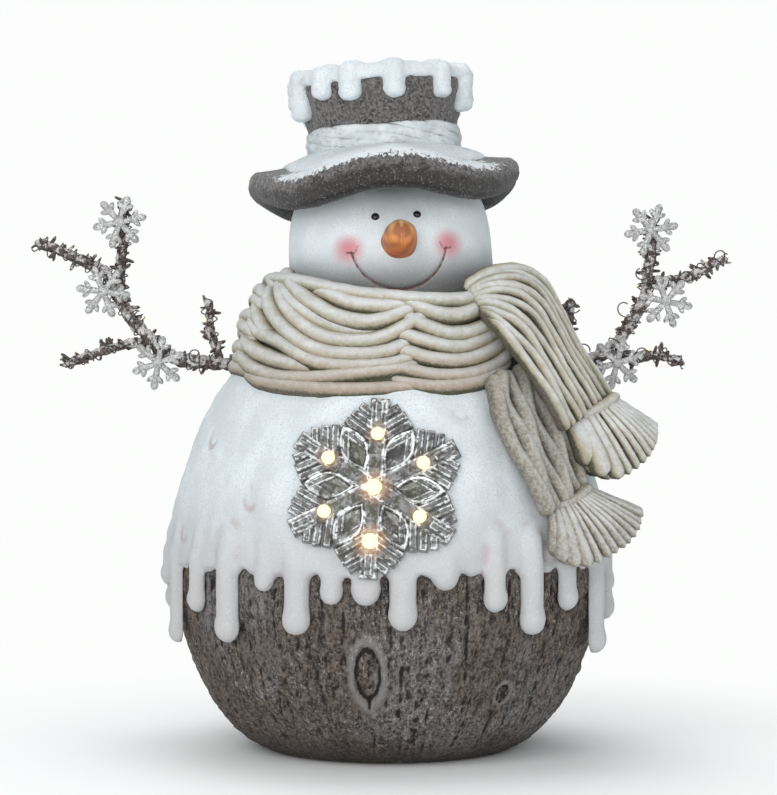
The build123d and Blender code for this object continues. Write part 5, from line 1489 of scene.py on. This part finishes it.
def snowflake(material, lamp):
    """The faceted snowflake: six bars, chevrons, eye-shaped cells, and lamp windows."""
    stack = Stack()
    low, face = -10.6, 0.6

    def add(points, faces, values):
        stack.add(flake_frame(np.asarray(points) + np.array([0, flake_rise, 0])), faces, values)

    # Each chevron: how far out its root is, its length and its width
    chevrons = ((21.5, 20.0, 4.6), (28.5, 18.5, 4.6), (35.5, 14.5, 4.6), (42.5, 9.5, 4.4))
    for arm in range(6):
        turn = radians(90 + flake_lean + 60 * arm)
        way = np.array([cos(turn), sin(turn)])
        aside = np.array([-way[1], way[0]])
        add(*bar(way * 3, way * 52, 10.8, low, face, 1.6))
        add(*bar(way * 38, way * 51, 5.2, low, face + 0.7, 1.1))
        for lateral in (-1, 1):
            lean = turn + lateral * radians(57)
            branch = np.array([cos(lean), sin(lean)])
            for root_at, length, width in chevrons:
                root = way * root_at + aside * lateral * 3.0
                add(*bar(root, root + branch * length, width, low, face - 0.3, 1.1))
        petal_turn = turn + radians(30)
        centre = np.array([cos(petal_turn), sin(petal_turn)]) * 25.5
        add(*petal(centre, petal_turn, 27.0, 14.0, low, face + 0.2))
    # Two discs stand behind the bars: how far they reach and their level
    for reach, level in ((43.0, -5.0), (19.0, -3.6)):
        points = [(reach * cos(turn), reach * sin(turn), z) for z in (low, level) for turn in full_turn(48)]
        # The discs' crest value of 0 paints them dark, a painted shade behind the bars
        add(points, ring_faces(2, 48), 0.0)
    piece = stack.build("snowflake_glitter", "figure", "glitter_acrylic", material, "crest", False)
    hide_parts("snowflake_lens")
    domes = Stack()
    for spot, heat in lamp_spots():
        size = 4.6 if heat > 1 else 3.9
        domes.add(*ball(spot + flake_out * 0.9, (size, size, 2.4), flake_axes, 12, 24), min(heat, 1.0))
    domes.build("lamp_windows", "figure", "glitter_acrylic", lamp, "heat")


# ---------------------------------------------------------------- twig arms
# Points are (distance out from the socket's mouth, height over the peg, offset to the back).
# Flakes add their turn in degrees, and curls end with their size instead of an offset.
arm_shapes = {
    "left": {
        "branch": [(3.3, 0, 0), (21, 0, 0), (50, 11, 0), (72, 41, 0), (85, 59, 0), (124, 75, 0)],
        "upper_twig": [(72, 43, 0), (70, 65, 1), (69, 102, 2)],
        "lower_twig": [(52, 13, 0), (74, 10, -2), (89, 5, -4), (106, -2, -5)],
        "short_twig": [(9, 1, 0), (14, 17, -2), (17, 40, -3)],
        "flakes": [(71, 87, 1, 12), (81, 44, 0, -8), (47, 0, 0, 20)],
        "curls": [(24, 5, 6), (60, 30, 6), (76, 50, 5), (16, 30, 5), (100, 66, 4), (84, 3, 4)],
    },
    "right": {
        "branch": [(3.3, 0, 0), (23, 0, 0), (47, 13, 0), (61, 36, 0), (67, 61, 0), (68, 90, 0)],
        "fork_twig": [(65, 49, 0), (75, 49, 1), (93, 55, 3), (116, 65, 4)],
        "lower_twig": [(43, 10, 0), (54, 4, 1), (74, 5, 0), (88, -1, -3)],
        "short_twig": [(9, 1, 0), (15, 17, -2), (18, 40, -3)],
        "flakes": [(67, 82, 0, 10), (76, 38, 0, -12), (46, 0, 0, 16)],
        "curls": [(26, 7, 9), (51, 34, 8), (61, 56, 7), (63, 74, 6), (90, 52, 6), (110, 66, 5),
                  (62, 6, 6), (18, 36, 7)],
    },
}
twig_radii = {"branch": 4.2, "upper_twig": 3.3, "fork_twig": 3.2, "lower_twig": 3.1, "short_twig": 2.9}


def arm_point(side, point):
    """A point of the tables above in the figure's frame; side is -1 on the left and 1 on the right."""
    return np.array([side * (socket_mouth + point[0]), arm_y + point[2], arm_z + point[1]])


def twig(name, node, body, path, thick, material, seed):
    """A gnarled twig: an uneven tube with swollen joints and a blunt tip."""
    turns = full_turn(18)
    run = run_of(path)
    lift, side = across(path, (0.0, -1.0, 0.0))
    taper = (1.0 - 0.30 * run / run[-1]) * (0.78 + 0.22 * ease(run, 0, 10))
    joints = 1 + 0.24 * np.clip(np.sin(run / 3.1 + seed) - 0.3, 0, 1)
    ends = np.sqrt(np.clip(1 - (1 - np.clip((run[-1] - run) / thick, 0, 1)) ** 2, 0.03, 1))
    radius = thick * taper * joints * ends
    wave = np.stack([np.sin(run / 6 + seed), np.cos(run / 5 + seed * 2), np.sin(run / 7)], 1)
    spine = path + wave * 0.8 * (ease(run, 0, 12) * ease(run, run[-1], run[-1] - 5))[:, None]
    rings = spine[:, None] + radius[:, None, None] * (
        np.cos(turns)[None, :, None] * lift[:, None] + np.sin(turns)[None, :, None] * side[:, None])
    points = rings.reshape(-1, 3)
    outward = normalised(points - np.repeat(spine, len(turns), 0))
    rough = wander(points, 3.4, 4, seed) * 1.1 * np.repeat(ease(run, 0, 8), len(turns))
    piece = build(name, points + outward * rough[:, None], ring_faces(len(spine), len(turns)), body,
                  material, {"lift": 0.5 + 0.5 * outward[:, 2]})
    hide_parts(node)


def thorn_shape():
    """A short bent stub with a swollen root, for the thorn tree."""
    sides, length, bend = 7, 5.2, 1.1
    rings = ((0, 1.0), (0.35, 0.90), (0.6, 0.78), (0.85, 0.70), (1.0, 0.3))
    points = [(radius * cos(turn), radius * sin(turn) + bend * share ** 2, share * length)
              for share, radius in rings for turn in full_turn(sides)]
    return loose("thorn", points, ring_faces(len(rings), sides))


def thorns(name, body, paths, shape, material, seed):
    """Stubs and buds scattered along the twigs, in every direction."""
    spacing = 1.35
    tree = Grower("thorn_tree", Spacing=spacing * MM, Small=0.95, Large=1.7, Seed=seed, Thorn=shape)
    curve = tree.node("GeometryNodeMeshToCurve", {0: tree.input("Geometry")})
    points = tree.node("GeometryNodeCurveToPoints", {"Curve": curve, "Length": tree.input("Spacing")},
                       mode="LENGTH")
    thorn = tree.node("GeometryNodeObjectInfo", {"Object": tree.input("Thorn")}, "Geometry")
    chance = {"Seed": tree.input("Seed")}
    turn = tree.node("FunctionNodeRandomValue", {0: (0, 0, 0), 1: (6.283, 6.283, 6.283), **chance},
                     data_type="FLOAT_VECTOR")
    size = tree.node("FunctionNodeRandomValue",
                     {2: tree.input("Small"), 3: tree.input("Large"), **chance}, 1, data_type="FLOAT")
    grown = tree.node("GeometryNodeInstanceOnPoints", {
        "Points": points, "Instance": thorn, "Rotation": turn, "Scale": size})
    tree.close(grown, material)
    return tree.grow(name, paths, body, "twig_bark", material)


def paddle():
    """One arm of a small snowflake: a broad rounded bar with three lobes at its end."""
    shells = []
    for x, z, turn, length, width in ((7.8, 0, 0, 8.6, 2.1), (13.8, 0, 0, 3.2, 2.5),
                                      (10.2, 2.6, 52, 3.2, 1.7), (10.2, -2.6, -52, 3.2, 1.7)):
        angle = radians(turn)
        axes = [(cos(angle), 0, sin(angle)), (-sin(angle), 0, cos(angle)), (0, 1, 0)]
        shells.append(ball((x, 0, z), (length, width, 1.6), axes, 8, 12))
    return shells


def mini_flakes(side_name, side, body, material):
    """Three glittery snowflakes tied to the twigs."""
    stack = Stack()
    for *spot, spin in arm_shapes[side_name]["flakes"]:
        centre = arm_point(side, spot) + np.array([0, -5.2, 0])
        for arm in range(6):
            angle = radians(60 * arm + spin)
            for points, faces in paddle():
                x, y, z = points.T
                turned = np.stack([x * cos(angle) - z * sin(angle), y, x * sin(angle) + z * cos(angle)], 1)
                stack.add(centre + turned, faces)
        stack.add(*ball(centre + np.array([0, -0.6, 0]), (3.4, 1.8, 3.4), None, 8, 14))
    piece = stack.build(side_name + "_glitter_flakes", body, "glitter_acrylic", material)
    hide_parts(side_name + "_mini_flakes")


def wire(side_name, side, body, paths, material):
    """Fine wire wound round the twigs, with loose curls."""
    stack = Stack()
    front, gauge, curl_gauge = np.array([0.0, -1.0, 0.0]), 0.42, 0.45
    for index, (path, thick) in enumerate(paths):
        # On the branch the winding starts clear of the scarf
        fine = even(path, 0.8)[14 if index == 0 else 4:]
        spots = np.linspace(0, run_of(path)[-1], len(fine))
        lift, beside = across(fine, front)
        turn = spots / 1.5 + 1.2 * np.sin(spots / 9) + index
        reach = thick + 1.1 + 0.8 * np.sin(spots / 5.3 + index) + 0.5 * np.sin(spots / 2.1)
        coil = fine + reach[:, None] * (np.cos(turn)[:, None] * lift + np.sin(turn)[:, None] * beside)
        stack.rope(coil, gauge, lift, sides=6, round_ends=False)
    turns = np.linspace(0, 2 * pi * 0.8, 32)
    for index, (reach, rise_z, size) in enumerate(arm_shapes[side_name]["curls"]):
        spread = size * (0.35 + 0.5 * turns / turns[-1])
        tilt = 0.5 * sin(index * 2.3)
        ring = np.stack([spread * np.cos(turns + index), spread * tilt * np.sin(turns + index) - 2,
                         spread * np.sin(turns + index)], 1)
        stack.rope(arm_point(side, (reach, rise_z, -3.0)) + ring, curl_gauge, front + ring * 0.01,
                   sides=6, round_ends=False)
    piece = stack.build(side_name + "_wound_wire", body, "fine_wire", material)
    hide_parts(side_name + "_wire")


def arms(paints):
    """Both arms: twigs, thorns, wound wire and small snowflakes."""
    shape = thorn_shape()
    for side_name, side, frost_name, seed in (("left", -1, "dark_twig", 5), ("right", 1, "grey_twig", 19)):
        body = "arm_" + side_name
        routes = arm_shapes[side_name]
        paths = []
        for index, twig_name in enumerate(k for k in routes if k in twig_radii):
            path = even(spline([arm_point(side, point) for point in routes[twig_name]], 10), 1.6)
            thick = twig_radii[twig_name]
            twig(f"{side_name}_{twig_name}_bark", f"{side_name}_{twig_name}", body, path, thick,
                 paints[frost_name], 3.0 * index + side)
            paths.append((path, thick))
        thorns(side_name + "_thorns", body, [path[4:-1] for path, thick in paths], shape,
               paints[frost_name], seed)
        wire(side_name, side, body, paths, paints["wire"])
        mini_flakes(side_name, side, body, paints["mini_flake"])


# ---------------------------------------------------------------- carried-over CAD pieces
def finish_cad(paints):
    """A material for every CAD node that stays in view."""
    kept = {
        "base_board": ["base_plate"],
        "steel": ["base_screws", "housing_screws", "board_screws", "door_screw"],
        "bead": ["eye_beads"],
        "board": ["led_board", "timer_board"],
        "housing": ["battery_housing", "battery_door"],
        "switch": ["slide_switch"],
        "black": ["switch_slider"],
        "cells": ["battery_cells"],
        "spring": ["contact_plates", "contact_springs"],
        "socket": ["left_socket", "right_socket", "left_arm_plug", "right_arm_plug"],
        "lead": ["lead_flake", "lead_left_arm", "lead_right_arm"],
        "warm_lamp": ["flake_leds", "right_lights"],
        "rose_lamp": ["left_lights"],
    }
    for paint, names in kept.items():
        for name in names:
            materials = nodes[name].data.materials
            materials.clear()
            materials.append(paints[paint])


def main():
    set_stage()
    snow = snow_paint()
    felt = felt_paint()
    paints = {
        "base_board": base_board_paint(),
        "steel": metal_paint("screw_steel_paint", (0.62, 0.62, 0.60), 0.28),
        "spring": metal_paint("spring_steel_paint", (0.70, 0.70, 0.68), 0.25),
        "switch": metal_paint("switch_metal_paint", (0.55, 0.56, 0.57), 0.35),
        "bead": plastic_paint("bead_paint", (0.012, 0.012, 0.013), 0.12, 900, 0.05),
        "board": board_paint(),
        "housing": plastic_paint("housing_paint", (0.055, 0.05, 0.048), 0.5),
        "black": plastic_paint("black_plastic_paint", (0.02, 0.02, 0.02), 0.4),
        "socket": plastic_paint("socket_paint", (0.10, 0.085, 0.075), 0.5),
        "lead": plastic_paint("lead_paint", (0.03, 0.03, 0.03), 0.45, 700, 0.1),
        "cells": cell_paint(),
        "warm_lamp": lamp_paint("warm_lamp_paint", (1.0, 0.80, 0.42), (1.0, 0.55, 0.20), 1.2),
        "rose_lamp": lamp_paint("rose_lamp_paint", (1.0, 0.66, 0.52), (1.0, 0.42, 0.30), 0.9),
        "dark_twig": twig_paint("dark_twig_paint", 0.095),
        "grey_twig": twig_paint("grey_twig_paint", 0.12),
        "mini_flake": mini_flake_paint(),
        "wire": metal_paint("wire_paint", (0.13, 0.12, 0.12), 0.35),
    }
    snow_mantle(snow)
    stump(bark_paint())
    head(face_paint())
    nose(carrot_paint())
    brim(felt, snow)
    crown(felt)
    band(band_paint())
    snow_cap(snow)
    scarf(scarf_paint("scarf_paint", 0.12), scarf_paint("worn_scarf_paint", 0.85))
    snowflake(glitter_paint(), window_paint())
    arms(paints)
    finish_cad(paints)


main()
